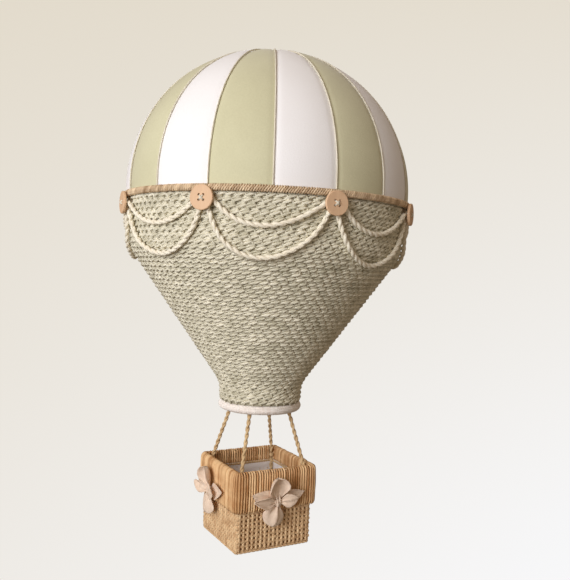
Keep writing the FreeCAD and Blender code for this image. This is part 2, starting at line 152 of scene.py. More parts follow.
def twisted(line: Line, offset: float, pitch: float, phase: float) -> Line:
    """The path of one strand wound round a line.

    Args:
        line: the cord's centre line, evenly spaced.
        offset: the strand's distance from it.
        pitch: the length of one full turn.
        phase: the strand's place round the cord, in turns.
    """
    normals, binormals = square_directions(line)
    turn = TURN * (lengths_along(line) / pitch + phase)
    return line + offset * (np.cos(turn)[:, None] * normals + np.sin(turn)[:, None] * binormals)


def nurbs_line(name: str, points: Sequence[Vector]) -> Line:
    """The smooth line of a cord's route, as a NURBS spline of order 3 gives it."""
    curve = bpy.data.curves.new(name + "_route", "CURVE")
    curve.dimensions = "3D"
    curve.resolution_u = 24
    spline = curve.splines.new("NURBS")
    spline.points.add(len(points) - 1)
    for place, point in zip(spline.points, points):
        place.co = (*point, 1.0)
    spline.order_u = 3
    spline.use_endpoint_u = True
    route = bpy.data.objects.new(name + "_route", curve)
    mesh = bpy.data.meshes.new_from_object(route)
    line = np.array([vertex.co[:] for vertex in mesh.vertices])
    bpy.data.objects.remove(route)
    bpy.data.curves.remove(curve)
    bpy.data.meshes.remove(mesh)
    return line


# Nodes

@dataclass(frozen=True)
class Graph:
    """A node tree, with short ways to add nodes and feed their inputs."""

    tree: bpy.types.NodeTree

    def add(self, kind: str, inputs: dict | None = None, **settings) -> bpy.types.Node:
        """A new node.

        Args:
            kind: the node's type.
            inputs: sockets to link or plain values, by the input's name or number.
            settings: the node's own properties.
        """
        node = self.tree.nodes.new(kind)
        for label, value in settings.items():
            setattr(node, label, value)
        self.feed(node, inputs or {})
        return node

    def feed(self, node: bpy.types.Node, inputs: dict) -> None:
        """Link or set a node's inputs."""
        for place, value in inputs.items():
            if isinstance(value, Socket):
                self.tree.links.new(value, node.inputs[place])
            else:
                node.inputs[place].default_value = value

    def math(self, operation: str, *values: Socket | float) -> Socket:
        """A Math node's output."""
        return self.add("ShaderNodeMath", dict(enumerate(values)), operation=operation).outputs[0]

    def plus(self, value: Socket, weight: float, other: Socket | float) -> Socket:
        """A weighted value added to another."""
        return self.math("ADD", self.math("MULTIPLY", value, weight), other)

    def blend(self, first: Socket, second: Socket, weight: float) -> Socket:
        """Two values added, the first with a weight and the second with what is left of 1."""
        return self.plus(first, weight, self.math("MULTIPLY", second, 1.0 - weight))

    def noise(self, where: Socket, scale: Socket | float, detail: float = 3.0, rough: float = 0.55) -> Socket:
        """A Noise Texture's value at a place."""
        inputs = {"Vector": where, "Scale": scale, "Detail": detail, "Roughness": rough}
        return self.add("ShaderNodeTexNoise", inputs).outputs["Fac"]

    def place(self, kind: str = "Object") -> Socket:
        """Texture coordinates, in metres for an object."""
        return self.add("ShaderNodeTexCoord").outputs[kind]

    def split(self, vector: Socket) -> bpy.types.NodeOutputs:
        """A vector's three parts."""
        return self.add("ShaderNodeSeparateXYZ", {0: vector}).outputs

    def strand_place(self) -> tuple[Socket, Socket]:
        """Turns round a strand and metres along it."""
        parts = self.split(self.add("ShaderNodeUVMap", uv_map="strand").outputs["UV"])
        return parts["X"], parts["Y"]

    def mix(self, share: Socket, first: Colour, second: Colour) -> Socket:
        """Two colours mixed by a share."""
        inputs = {0: share, 6: (*first, 1.0), 7: (*second, 1.0)}
        return self.add("ShaderNodeMix", inputs, data_type="RGBA", clamp_factor=True).outputs[2]


# Shared surface effects. Each takes a size and a spread and gives a height and a tone.

Effect = Callable[[Graph, Socket, Socket], tuple[Socket, Socket]]


def yarn(graph: Graph, size: Socket, spread: Socket) -> tuple[Socket, Socket]:
    """Fine fibres twisted along a strand. The size is the twist's pitch, the spread the fibres' number."""
    round_strand, along = graph.strand_place()
    turns = graph.math("ADD", graph.math("DIVIDE", along, size), graph.math("MULTIPLY", round_strand, spread))
    wave = graph.math("SINE", graph.math("MULTIPLY", turns, TURN))
    fuzz = graph.noise(graph.place(), 900.0, 2.0)
    patches = graph.noise(graph.place(), 120.0)
    # The tone follows the twist's wave as well as random patches: painted light on the twist's ridges and
    # painted shade in its grooves.
    return graph.plus(wave, 0.35, fuzz), graph.plus(wave, 0.12, patches)


def nap(graph: Graph, size: Socket, spread: Socket) -> tuple[Socket, Socket]:
    """The fine matted fibres of felt. The size scales the fibres, the spread the cloudy patches."""
    where = graph.place()
    fibres = graph.noise(where, graph.math("DIVIDE", 1.0, size), 4.0, 0.7)
    return fibres, graph.blend(fibres, graph.noise(where, spread), 0.45)


def weave(graph: Graph, size: Socket, spread: Socket) -> tuple[Socket, Socket]:
    """Over-and-under threads on cloth. The size is the thread pitch, the spread the slubs' scale."""
    waves = [graph.math("SINE", graph.math("MULTIPLY", graph.math("DIVIDE", place, size), TURN))
             for place in graph.strand_place()]
    over = graph.math("MULTIPLY", *waves)
    slubs = graph.noise(graph.place(), spread)
    # The tone follows the over-and-under wave as well as the slubs: painted light where threads pass over,
    # painted shade where they dip under.
    return graph.plus(over, 0.4, slubs), graph.plus(over, 0.1, slubs)


def grain(graph: Graph, size: Socket, spread: Socket) -> tuple[Socket, Socket]:
    """Long wood fibres running up. The size scales the fibres, the spread the figure."""
    mapped = graph.add("ShaderNodeMapping", {"Vector": graph.place(), "Scale": (1.0, 1.0, 0.12)})
    where = mapped.outputs["Vector"]
    fibres = graph.noise(where, graph.math("DIVIDE", 1.0, size), 3.0, 0.65)
    return fibres, graph.blend(fibres, graph.noise(where, spread, 2.0), 0.4)


def straw(graph: Graph, size: Socket, spread: Socket) -> tuple[Socket, Socket]:
    """Papery streaks along a strand. The size is the streaks' length, the spread their number."""
    round_strand, along = graph.strand_place()
    where = graph.add("ShaderNodeCombineXYZ", {0: graph.math("MULTIPLY", round_strand, spread),
                                               1: graph.math("DIVIDE", along, size)})
    streaks = graph.noise(where.outputs[0], 1.0, 3.0, 0.6)
    return streaks, graph.blend(streaks, graph.noise(graph.place(), 90.0), 0.55)


@cache
def effect_group(effect: Effect) -> bpy.types.ShaderNodeTree:
    """An effect as a node group, built on first use."""
    tree = bpy.data.node_groups.new(effect.__name__, "ShaderNodeTree")
    for label in ("Size", "Spread"):
        tree.interface.new_socket(label, in_out="INPUT", socket_type="NodeSocketFloat").default_value = 1.0
    for label in ("Height", "Tone"):
        tree.interface.new_socket(label, in_out="OUTPUT", socket_type="NodeSocketFloat")
    graph = Graph(tree)
    given = graph.add("NodeGroupInput").outputs
    height, tone = effect(graph, given["Size"], given["Spread"])
    graph.add("NodeGroupOutput", {"Height": height, "Tone": tone})
    return tree


@dataclass(frozen=True)
class Finish:
    """A finish: two colours mixed by an effect's tone, with the effect's height as relief."""

    name: str
    dark: Colour
    light: Colour
    effect: Effect
    size: float
    spread: float
    relief: float
    roughness: float = 0.85
    sheen: float = 0.0
    strand_tones: float = 0.0
    metallic: float = 0.0
    contrast: float = 1.6

    @cache
    def material(self) -> bpy.types.Material:
        """The finish as a material, built once."""
        material = bpy.data.materials.new("dressed_" + self.name)
        material.use_nodes = True
        graph = Graph(material.node_tree)
        group = graph.add("ShaderNodeGroup", node_tree=effect_group(self.effect))
        graph.feed(group, {"Size": self.size, "Spread": self.spread})
        centred = graph.math("SUBTRACT", group.outputs["Tone"], 0.5)
        mask = graph.plus(centred, self.contrast, 0.5)
        if self.strand_tones:
            tone = graph.add("ShaderNodeAttribute", attribute_name="tone").outputs["Fac"]
            own = graph.math("MULTIPLY", graph.math("SUBTRACT", tone, 0.5), self.strand_tones)
            mask = graph.math("ADD", mask, own)
        bump = graph.add("ShaderNodeBump", {"Strength": 0.7, "Distance": self.relief,
                                            "Height": group.outputs["Height"]})
        graph.feed(graph.tree.nodes["Principled BSDF"], {
            "Base Color": graph.mix(mask, self.dark, self.light),
            "Normal": bump.outputs["Normal"],
            "Roughness": self.roughness,
            "Metallic": self.metallic,
            "Sheen Weight": self.sheen,
            "Sheen Roughness": 0.5,
            "Specular IOR Level": 0.5 if self.metallic else 0.25})
        return material


SAGE_FELT = Finish("sage_felt", (0.56, 0.53, 0.33), (0.76, 0.73, 0.50), nap, 0.0016, 14.0, 0.0003,
                   sheen=0.3, contrast=1.5)
WHITE_FELT = Finish("white_felt", (0.94, 0.91, 0.90), (1.0, 0.99, 0.98), nap, 0.0016, 14.0, 0.0003, sheen=0.3)
CREAM_CORD = Finish("cream_cord", (0.68, 0.62, 0.48), (0.92, 0.87, 0.74), yarn, 0.004, 3.0, 0.0002)
JUTE_WRAP = Finish("jute_wrap", (0.36, 0.22, 0.115), (0.98, 0.78, 0.53), yarn, 0.003, 2.0, 0.0003,
                   strand_tones=0.5, contrast=1.1)
# Dark jute for the rim core: painted shade in the gaps between the wrap's threads.
JUTE_PAINTED_SHADE = Finish("jute_shade", (0.16, 0.09, 0.04), (0.28, 0.18, 0.09), yarn, 0.003, 2.0, 0.0003)
SAGE_YARN = Finish("sage_knit", (0.53, 0.49, 0.355), (0.94, 0.885, 0.72), yarn, 0.006, 3.0, 0.0004,
                   strand_tones=0.35)
# Dark sage for the sheet under the knit: painted shade seen through the gaps between stitches.
KNIT_PAINTED_SHADE = Finish("sage_knit_back", (0.32, 0.29, 0.20), (0.44, 0.40, 0.29), nap, 0.001, 60.0, 0.0005)
NECK_THREAD = Finish("neck_thread", (0.95, 0.84, 0.76), (1.0, 0.965, 0.91), yarn, 0.003, 2.0, 0.0002,
                     strand_tones=0.25)
BUTTON_WOOD = Finish("button_wood", (0.66, 0.41, 0.24), (0.87, 0.61, 0.39), grain, 0.0012, 30.0, 0.0001,
                     roughness=0.6)
SWAG_COTTON = Finish("swag_cotton", (0.86, 0.76, 0.58), (1.0, 0.95, 0.80), yarn, 0.005, 5.0, 0.0003,
                     sheen=0.1)
RAFFIA_ROPE = Finish("raffia_rope", (0.36, 0.20, 0.08), (0.92, 0.70, 0.40), straw, 0.006, 9.0, 0.0005,
                     roughness=0.7, contrast=2.4)
RAFFIA_WRAP = Finish("raffia_wrap", (0.48, 0.22, 0.075), (1.0, 0.70, 0.38), straw, 0.008, 8.0, 0.0005,
                     roughness=0.7, strand_tones=0.8, contrast=2.0)
RAFFIA_WEAVE = Finish("raffia_weave", (0.50, 0.28, 0.13), (1.0, 0.75, 0.45), straw, 0.005, 8.0, 0.0005,
                      roughness=0.7, strand_tones=0.4, contrast=1.7)
# The collar padding is real; its dark brown is painted shade for the gaps between the strands.
RAFFIA_PAINTED_SHADE = Finish("raffia_shade", (0.36, 0.18, 0.065), (0.52, 0.29, 0.12), straw, 0.006, 8.0, 0.0004)
# Brown for the sheet behind the basket weave: painted shade in the weave's holes.
BASKET_PAINTED_SHADE = Finish("basket_shade", (0.38, 0.21, 0.09), (0.52, 0.31, 0.15), nap, 0.001, 80.0, 0.0003)
COTTON_LINING = Finish("cotton_lining", (0.93, 0.87, 0.84), (1.0, 0.96, 0.94), weave, 0.0009, 40.0, 0.0002)
LINEN_PETAL = Finish("linen_petal", (0.75, 0.56, 0.42), (1.0, 0.82, 0.65), weave, 0.0009, 220.0, 0.0002,
                     sheen=0.1)
STIFF_CARD = Finish("stiff_card", (0.55, 0.46, 0.32), (0.68, 0.60, 0.46), nap, 0.0008, 50.0, 0.0002)
PAPIER_MACHE = Finish("papier_mache", (0.60, 0.56, 0.48), (0.74, 0.70, 0.62), nap, 0.003, 30.0, 0.0008)
HOOP_WOOD = Finish("hoop_wood", (0.42, 0.28, 0.15), (0.62, 0.45, 0.27), grain, 0.001, 60.0, 0.0002)
ANTIQUE_BRASS = Finish("antique_brass", (0.35, 0.24, 0.10), (0.62, 0.46, 0.22), nap, 0.002, 120.0, 0.0001,
                       roughness=0.38, metallic=1.0)


# Meshes

def linked(name: str, data: bpy.types.ID) -> bpy.types.Object:
    """A new object in the scene."""
    made = bpy.data.objects.new(name, data)
    bpy.context.scene.collection.objects.link(made)
    return made


def settle(made: bpy.types.Object, body: str, slot: str, *replaced: str) -> bpy.types.Object:
    """Put a finished piece on its body and hide the imported nodes that it stands for."""
    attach(made, body)
    if replaced:
        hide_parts(*replaced)
    LOG.info("%s: %d faces on %s", made.name, len(made.data.polygons), body)
    return made


@dataclass
class MeshWork:
    """Faces gathered for one piece, with strand coordinates: turns round the strand and metres along it."""

    points: list[np.ndarray] = field(default_factory=list)
    faces: list[tuple[int, ...]] = field(default_factory=list)
    corners: list[tuple[float, float]] = field(default_factory=list)
    shades: list[np.ndarray] = field(default_factory=list)
    count: int = 0

    def add(self, points: np.ndarray, faces: list[tuple[int, ...]], corners: list[tuple[float, float]],
            shade: float = 0.5) -> None:
        """Take in a finished patch of faces."""
        self.faces.extend(tuple(index + self.count for index in face) for face in faces)
        self.corners.extend(corners)
        self.points.append(points)
        self.shades.append(np.full(len(points), shade))
        self.count += len(points)

    def sweep(self, line: Sequence, radius: float | np.ndarray, sides: int = 8, closed: bool = False,
              flat: float = 1.0, shade: float = 0.5, capped: bool = True) -> None:
        """A round strand along a line.

        Args:
            line: the strand's points.
            radius: one radius, or one at each point.
            sides: faces round the strand.
            closed: whether its end joins its start.
            flat: how far the section is squashed along its first square direction.
            shade: the strand's own tone, 0 dark to 1 light.
            capped: whether open ends are closed.
        """
        line = np.asarray(line, float)
        size = len(line)
        normals, binormals = square_directions(line, closed)
        radii = np.broadcast_to(np.asarray(radius, float), (size,))[:, None]
        rings = [line + radii * (flat * math.cos(turn) * normals + math.sin(turn) * binormals)
                 for turn in (TURN * side / sides for side in range(sides))]
        along = lengths_along(line)
        faces: list[tuple[int, ...]] = []
        corners: list[tuple[float, float]] = []
        for row in range(size if closed else size - 1):
            here, after = row * sides, (row + 1) % size * sides
            low = along[row]
            high = along[row + 1] if row + 1 < size else low + (along[1] - along[0])
            for side in range(sides):
                beside = (side + 1) % sides
                faces.append((here + side, here + beside, after + beside, after + side))
                left, right = side / sides, (side + 1) / sides
                corners.extend([(left, low), (right, low), (right, high), (left, high)])
        if capped and not closed:
            last = (size - 1) * sides
            faces.extend([tuple(reversed(range(sides))), tuple(range(last, last + sides))])
            corners.extend([(0.5, along[0])] * sides + [(0.5, along[-1])] * sides)
        self.add(np.stack(rings, axis=1).reshape(-1, 3), faces, corners, shade)

    def two_ply(self, line: Line, offset: float, pitch: float, radius: float) -> None:
        """Two strands wound round a line."""
        for strand in range(2):
            self.sweep(twisted(line, offset, pitch, strand / 2), radius, 6)

    def grid(self, rows: Sequence, closed: bool = False, flip: bool = False) -> None:
        """A sheet of quads, with metres across and along as its coordinates.

        Args:
            rows: rows of as many points each.
            closed: whether each row's last point joins its first.
            flip: whether the faces look the other way.
        """
        points = np.array(rows, float)
        count, columns = points.shape[:2]
        across = np.zeros((count, columns + 1))
        wide = np.concatenate([points, points[:, :1]], axis=1)
        across[:, 1:] = np.cumsum(np.linalg.norm(np.diff(wide, axis=1), axis=2), axis=1)
        down = np.zeros((count, columns))
        down[1:] = np.cumsum(np.linalg.norm(np.diff(points, axis=0), axis=2), axis=0)
        faces: list[tuple[int, ...]] = []
        corners: list[tuple[float, float]] = []
        for row in range(count - 1):
            for column in range(columns if closed else columns - 1):
                beside = (column + 1) % columns
                face = [(row, column, column), (row, beside, column + 1),
                        (row + 1, beside, column + 1), (row + 1, column, column)]
                if flip:
                    face.reverse()
                faces.append(tuple(r * columns + c for r, c, _ in face))
                corners.extend((across[r, edge], down[r, c]) for r, c, edge in face)
        self.add(points.reshape(-1, 3), faces, corners)

    def piece(self, name: str, material: bpy.types.Material) -> bpy.types.Object:
        """The finished object, linked to the scene."""
        mesh = bpy.data.meshes.new(name)
        mesh.from_pydata(np.concatenate(self.points).tolist(), [], self.faces)
        layer = mesh.uv_layers.new(name="strand")
        layer.data.foreach_set("uv", np.array(self.corners, np.float32).ravel())
        tone = mesh.attributes.new("tone", "FLOAT", "POINT")
        tone.data.foreach_set("value", np.concatenate(self.shades).astype(np.float32))
        mesh.materials.append(material)
        mesh.validate()
        mesh.shade_smooth()
        return linked(name, mesh)

    def place(self, name: str, finish: Finish, body: str, slot: str, *replaced: str) -> bpy.types.Object:
        """The finished object, settled on its body."""
        return settle(self.piece(name, finish.material()), body, slot, *replaced)


# Pieces laid on points

@dataclass
class Places:
    """Points that a repeated piece is laid on, each with its outward and running directions and its size."""

    points: list[Sequence[float]] = field(default_factory=list)
    outs: list[Sequence[float]] = field(default_factory=list)
    runs: list[Sequence[float]] = field(default_factory=list)
    sizes: list[Sequence[float]] = field(default_factory=list)

    def put(self, point: Sequence[float], out: Sequence[float], run: Sequence[float],
            size: Sequence[float] = (1.0, 1.0, 1.0)) -> None:
        """Add one place."""
        for values, value in ((self.points, point), (self.outs, out), (self.runs, run), (self.sizes, size)):
            values.append(tuple(value))

    def mesh(self, name: str) -> bpy.types.Mesh:
        """The places as bare vertices with named vectors."""
        mesh = bpy.data.meshes.new(name)
        mesh.from_pydata(self.points, [], [])
        for label, values in (("out", self.outs), ("run", self.runs), ("size", self.sizes)):
            attribute = mesh.attributes.new(label, "FLOAT_VECTOR", "POINT")
            attribute.data.foreach_set("vector", np.array(values, np.float32).ravel())
        return mesh

    @classmethod
    def ring(cls, count: int, radius: float, z: float) -> "Places":
        """Evenly spaced places round the axis."""
        places = cls()
        for number in range(count):
            angle = 360.0 * number / count
            places.put(around(angle, radius, z), outward(angle), outward(angle + 90.0))
        return places


@cache
def laying_tree() -> tuple[bpy.types.GeometryNodeTree, dict[str, str]]:
    """Geometry nodes that lay one piece on every point, and their inputs' identifiers."""
    tree = bpy.data.node_groups.new("Lay pieces on points", "GeometryNodeTree")
    tree.interface.new_socket("Geometry", in_out="INPUT", socket_type="NodeSocketGeometry")
    sockets = {}
    kinds = {"Piece": "Object", "Size Spread": "Float", "Turn Spread": "Float", "Seed": "Int"}
    for label, kind in kinds.items():
        made = tree.interface.new_socket(label, in_out="INPUT", socket_type="NodeSocket" + kind)
        sockets[label] = made.identifier
    tree.interface.new_socket("Geometry", in_out="OUTPUT", socket_type="NodeSocketGeometry")
    graph = Graph(tree)
    given = graph.add("NodeGroupInput").outputs

    def named(label: str) -> Socket:
        """A vector stored on the points."""
        node = graph.add("GeometryNodeInputNamedAttribute", data_type="FLOAT_VECTOR")
        graph.feed(node, {"Name": label})
        return node.outputs["Attribute"]

    def random(low: float, high: float, offset: int) -> Socket:
        """A random value for each point, with its own offset to the seed."""
        seed = graph.math("ADD", given["Seed"], offset)
        node = graph.add("FunctionNodeRandomValue", data_type="FLOAT")
        graph.feed(node, {2: low, 3: high, "Seed": seed})
        return node.outputs[1]

    def spread(label: str, offset: int) -> Socket:
        """A random value up to the named spread, either way."""
        return graph.math("MULTIPLY", random(-1.0, 1.0, offset), given[label])

    aim = graph.add("FunctionNodeAxesToRotation", {0: named("out"), 1: named("run")},
                    primary_axis="Z", secondary_axis="X")
    info = graph.add("GeometryNodeObjectInfo", {0: given["Piece"]})
    scale = graph.add("ShaderNodeVectorMath", operation="SCALE")
    graph.feed(scale, {0: named("size"), "Scale": graph.math("ADD", spread("Size Spread", 0), 1.0)})
    laid = graph.add("GeometryNodeInstanceOnPoints", {
        "Points": given["Geometry"], "Instance": info.outputs["Geometry"],
        "Rotation": aim.outputs[0], "Scale": scale.outputs[0]})
    turn = graph.add("ShaderNodeCombineXYZ", {axis: spread("Turn Spread", 10 + axis) for axis in range(3)})
    turned = graph.add("GeometryNodeRotateInstances", {"Instances": laid.outputs[0],
                                                       "Rotation": turn.outputs[0]})
    tone = graph.add("GeometryNodeStoreNamedAttribute", domain="INSTANCE", data_type="FLOAT")
    graph.feed(tone, {"Geometry": turned.outputs[0], "Name": "tone", "Value": random(0.0, 1.0, 20)})
    real = graph.add("GeometryNodeRealizeInstances", {"Geometry": tone.outputs[0]})
    graph.add("NodeGroupOutput", {0: real.outputs[0]})
    return tree, sockets


def lay(name: str, work: MeshWork, places: Places, finish: Finish, size_spread: float = 0.0,
        turn_spread: float = 0.0, seed: int = 1) -> bpy.types.Object:
    """Lay a piece on every place and turn the result into a plain mesh.

    Args:
        name: the new object's name.
        work: the piece that is repeated.
        places: where the copies go.
        finish: the finish of the result.
        size_spread: the share by which sizes differ.
        turn_spread: how far copies turn at random, in radians.
        seed: the seed of both spreads.

    Returns:
        The plain mesh object.
    """
    single = work.piece(name + "_single", finish.material())
    single.data.attributes.remove(single.data.attributes["tone"])
    holder = linked(name + "_places", places.mesh(name + "_places"))
    layer = holder.modifiers.new("Lay", "NODES")
    layer.node_group, sockets = laying_tree()
    for label, value in (("Piece", single), ("Size Spread", size_spread), ("Turn Spread", turn_spread),
                         ("Seed", seed)):
        layer[sockets[label]] = value
    depsgraph = bpy.context.evaluated_depsgraph_get()
    mesh = bpy.data.meshes.new_from_object(holder.evaluated_get(depsgraph), depsgraph=depsgraph)
    mesh.name = name
    mesh.shade_smooth()
    bpy.data.objects.remove(holder)
    bpy.data.objects.remove(single)
    return linked(name, mesh)


def joined(name: str, parts: Sequence[bpy.types.Object]) -> bpy.types.Object:
    """Several objects joined into the first, under one name."""
    with bpy.context.temp_override(active_object=parts[0], object=parts[0], selected_objects=list(parts),
                                   selected_editable_objects=list(parts)):
        bpy.ops.object.join()
    parts[0].name = name
    parts[0].data.name = name
    return parts[0]


# Camera and room

@dataclass(frozen=True)
class Studio:
    """The camera, the pale sweep behind the balloon and the soft lights. Angles are in degrees."""

    distance: float = 741.3 * MM
    azimuth: float = -27.48
    height: float = -226.3 * MM
    pan: float = -29.2
    tilt: float = -1.57
    roll: float = -2.29
    lens: float = 43.27
    sensor: float = 36.0
    wall_gap: float = 1.5
    wall_width: float = 9.0
    wall_top: float = 4.0
    wall_bend: float = 0.8
    floor_z: float = -1.3
    floor_front: float = -3.0
    # Glow colours of the wall: painted shade at the upper left, painted light at the lower right.
    wall_far: Colour = (0.765, 0.705, 0.600)
    wall_near: Colour = (0.950, 0.955, 0.975)
    window: tuple[float, float, float] = (-1.07, -1.57, 0.12)
    window_size: float = 1.3
    window_power: float = 33.0
    window_colour: Colour = (0.93, 0.95, 1.0)
    room_colour: Colour = (1.0, 0.80, 0.62)
    room_strength: float = 0.27
    room_rise: float = 0.12
    beyond_colour: Colour = (0.84, 0.82, 0.79)
    middle: tuple[float, float, float] = (0.0, 0.0, -0.24)

    def camera(self) -> None:
        """Place the camera and make it the scene's."""
        data = bpy.data.cameras.new("camera")
        data.lens = self.lens
        data.sensor_width = self.sensor
        camera = linked("camera", data)
        camera.location = around(self.azimuth, self.distance, self.height)
        turn = Euler((0.0, 0.0, math.radians(self.pan))).to_quaternion()
        for step in ((self.tilt, 0.0, 0.0), (0.0, self.roll, 0.0), (90.0, 0.0, 0.0)):
            turn = turn @ Euler([math.radians(angle) for angle in step]).to_quaternion()
        camera.rotation_euler = turn.to_euler()
        bpy.context.scene.camera = camera

    def view_turn(self) -> Matrix:
        """The turn from the camera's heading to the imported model's frame."""
        return Matrix.Rotation(math.radians(self.pan), 4, "Z")

    def sweep(self) -> None:
        """A pale wall that curves into a floor, behind and under the balloon."""
        outline = [(self.floor_front, self.floor_z)]
        for step in range(13):
            angle = math.radians(90.0 * step / 12)
            outline.append((self.wall_gap - self.wall_bend + self.wall_bend * math.sin(angle),
                            self.floor_z + self.wall_bend - self.wall_bend * math.cos(angle)))
        outline.append((self.wall_gap, self.wall_top))
        work = MeshWork()
        work.grid([[(x, y, z) for x in np.linspace(-self.wall_width / 2, self.wall_width / 2, 9)]
                   for y, z in outline])
        wall = work.piece("studio_sweep", self.wall_material())
        wall.data.transform(self.view_turn())
        wall.visible_diffuse = False
        wall.visible_glossy = False
        wall.visible_shadow = False

    def wall_material(self) -> bpy.types.Material:
        """A wall that glows though no lamp lights it, painted with warm shade at the upper left that pales to
        white painted light at the lower right.
        """
        material = bpy.data.materials.new("studio_wall")
        material.use_nodes = True
        graph = Graph(material.node_tree)
        turn = graph.add("ShaderNodeMapping", vector_type="POINT")
        graph.feed(turn, {"Rotation": (0.0, 0.0, math.radians(-self.pan)), "Vector": graph.place()})
        parts = graph.split(turn.outputs["Vector"])
        # The glow's gradient is painted shade and painted light, darker and warmer towards the upper left.
        across = graph.math("MULTIPLY", graph.math("ADD", parts["X"], 0.9), 0.55)
        down = graph.math("MULTIPLY", graph.math("SUBTRACT", 0.645, parts["Z"]), 0.536)
        both = graph.math("MULTIPLY", graph.math("MULTIPLY", across, down), 0.4)
        edge = graph.plus(down, 0.5, graph.math("MULTIPLY", across, 0.1))
        graph.feed(graph.tree.nodes["Principled BSDF"], {
            "Emission Color": graph.mix(graph.math("ADD", edge, both), self.wall_far, self.wall_near),
            "Emission Strength": 1.0,
            "Base Color": (0.0, 0.0, 0.0, 1.0),
            "Roughness": 1.0,
            "Specular IOR Level": 0.0})
        return material

    def lights(self) -> None:
        """A broad window light from the left, aimed at the balloon's middle, and a dim warm room."""
        data = bpy.data.lights.new("window", "AREA")
        data.shape = "DISK"
        data.size = self.window_size
        data.energy = self.window_power
        data.color = self.window_colour
        lamp = linked("window", data)
        lamp.location = self.view_turn() @ Vector(self.window)
        lamp.rotation_euler = (Vector(self.middle) - lamp.location).to_track_quat("-Z", "Y").to_euler()

        world = bpy.data.worlds.new("soft_room")
        world.use_nodes = True
        graph = Graph(world.node_tree)
        room = graph.tree.nodes["Background"]
        height = graph.split(graph.place("Generated"))["Z"]
        graph.feed(room, {"Color": (*self.room_colour, 1.0),
                          "Strength": graph.plus(height, self.room_rise, self.room_strength)})
        pale = graph.add("ShaderNodeBackground", {"Color": (*self.beyond_colour, 1.0)})
        seen = graph.add("ShaderNodeLightPath").outputs["Is Camera Ray"]
        mix = graph.add("ShaderNodeMixShader", {0: seen, 1: room.outputs[0], 2: pale.outputs[0]})
        graph.feed(graph.tree.nodes["World Output"], {"Surface": mix.outputs[0]})
        bpy.context.scene.world = world
        bpy.context.scene.view_settings.view_transform = "Standard"

    def build(self) -> None:
        """Make the whole studio."""
        self.camera()
        self.sweep()
        self.lights()


# Skirt's outside line

@dataclass(frozen=True)
class SkirtLine:
    """The skirt's outside: straight runs between round bends, as radii and depths below the rim."""

    corners: tuple[tuple[float, float], ...] = (
        (145.457 * MM, 0.0), (140.457 * MM, 51.4 * MM), (43.0 * MM, 187.9 * MM), (42.3 * MM, 207.2 * MM))
    bend: float = 30.0 * MM

    def run(self, depth: float) -> tuple[float, float]:
        """The radius at a depth, with the corners left sharp, and the side's angle from upright."""
        index = sum(depth > lower for _, lower in self.corners[1:-1])
        (upper_radius, upper), (lower_radius, lower) = self.corners[index:index + 2]
        radius = upper_radius + (lower_radius - upper_radius) * (depth - upper) / (lower - upper)
        return radius, math.atan2(upper_radius - lower_radius, lower - upper)

    def points(self) -> np.ndarray:
        """The outside line with its bends rounded, as rows of radius and depth."""
        corners = [np.array(corner) for corner in self.corners]
        line = [corners[0]]
        for before, corner, after in zip(corners, corners[1:], corners[2:]):
            back = (before - corner) / np.linalg.norm(before - corner)
            ahead = (after - corner) / np.linalg.norm(after - corner)
            reach = self.bend * math.tan((math.pi - math.acos(float(back.dot(ahead)))) / 2)
            line.extend(bezier(corner + back * reach, corner, corner + ahead * reach, share)
                        for share in np.linspace(0.0, 1.0, 9))
        line.append(corners[-1])
        return np.array(line)


SKIRT = SkirtLine()


# Cords

@dataclass
class TwistedCord:
    """A cord of two strands laid round each other along a route."""

    name: str
    route: Sequence[Vector]
    diameter: float
    pitch: float
    finish: Finish
    strand_share: float
    roughness: float
    seed: int
    step: float = 1.3 * MM

    def build(self, body: str, lay: str, stiffness: str) -> None:
        """Args:
            body: the body that it rides on.
            lay: how it lies; not used.
            stiffness: how stiff it is; not used.
        """
        line = resample(nurbs_line(self.name, self.route), self.step)
        work = MeshWork()
        chance = np.random.default_rng(self.seed)
        strand = self.diameter / 2 * self.strand_share
        for number in range(2):
            path = twisted(line, self.diameter / 2 - strand, self.pitch, number / 2)
            swell = 1.0 + self.roughness * smooth_noise(chance, len(path), 6)
            work.sweep(path, strand * swell, shade=float(chance.uniform(0.3, 0.7)))
        made = work.place(self.name + "_twist", self.finish, body, self.finish.name, self.name)


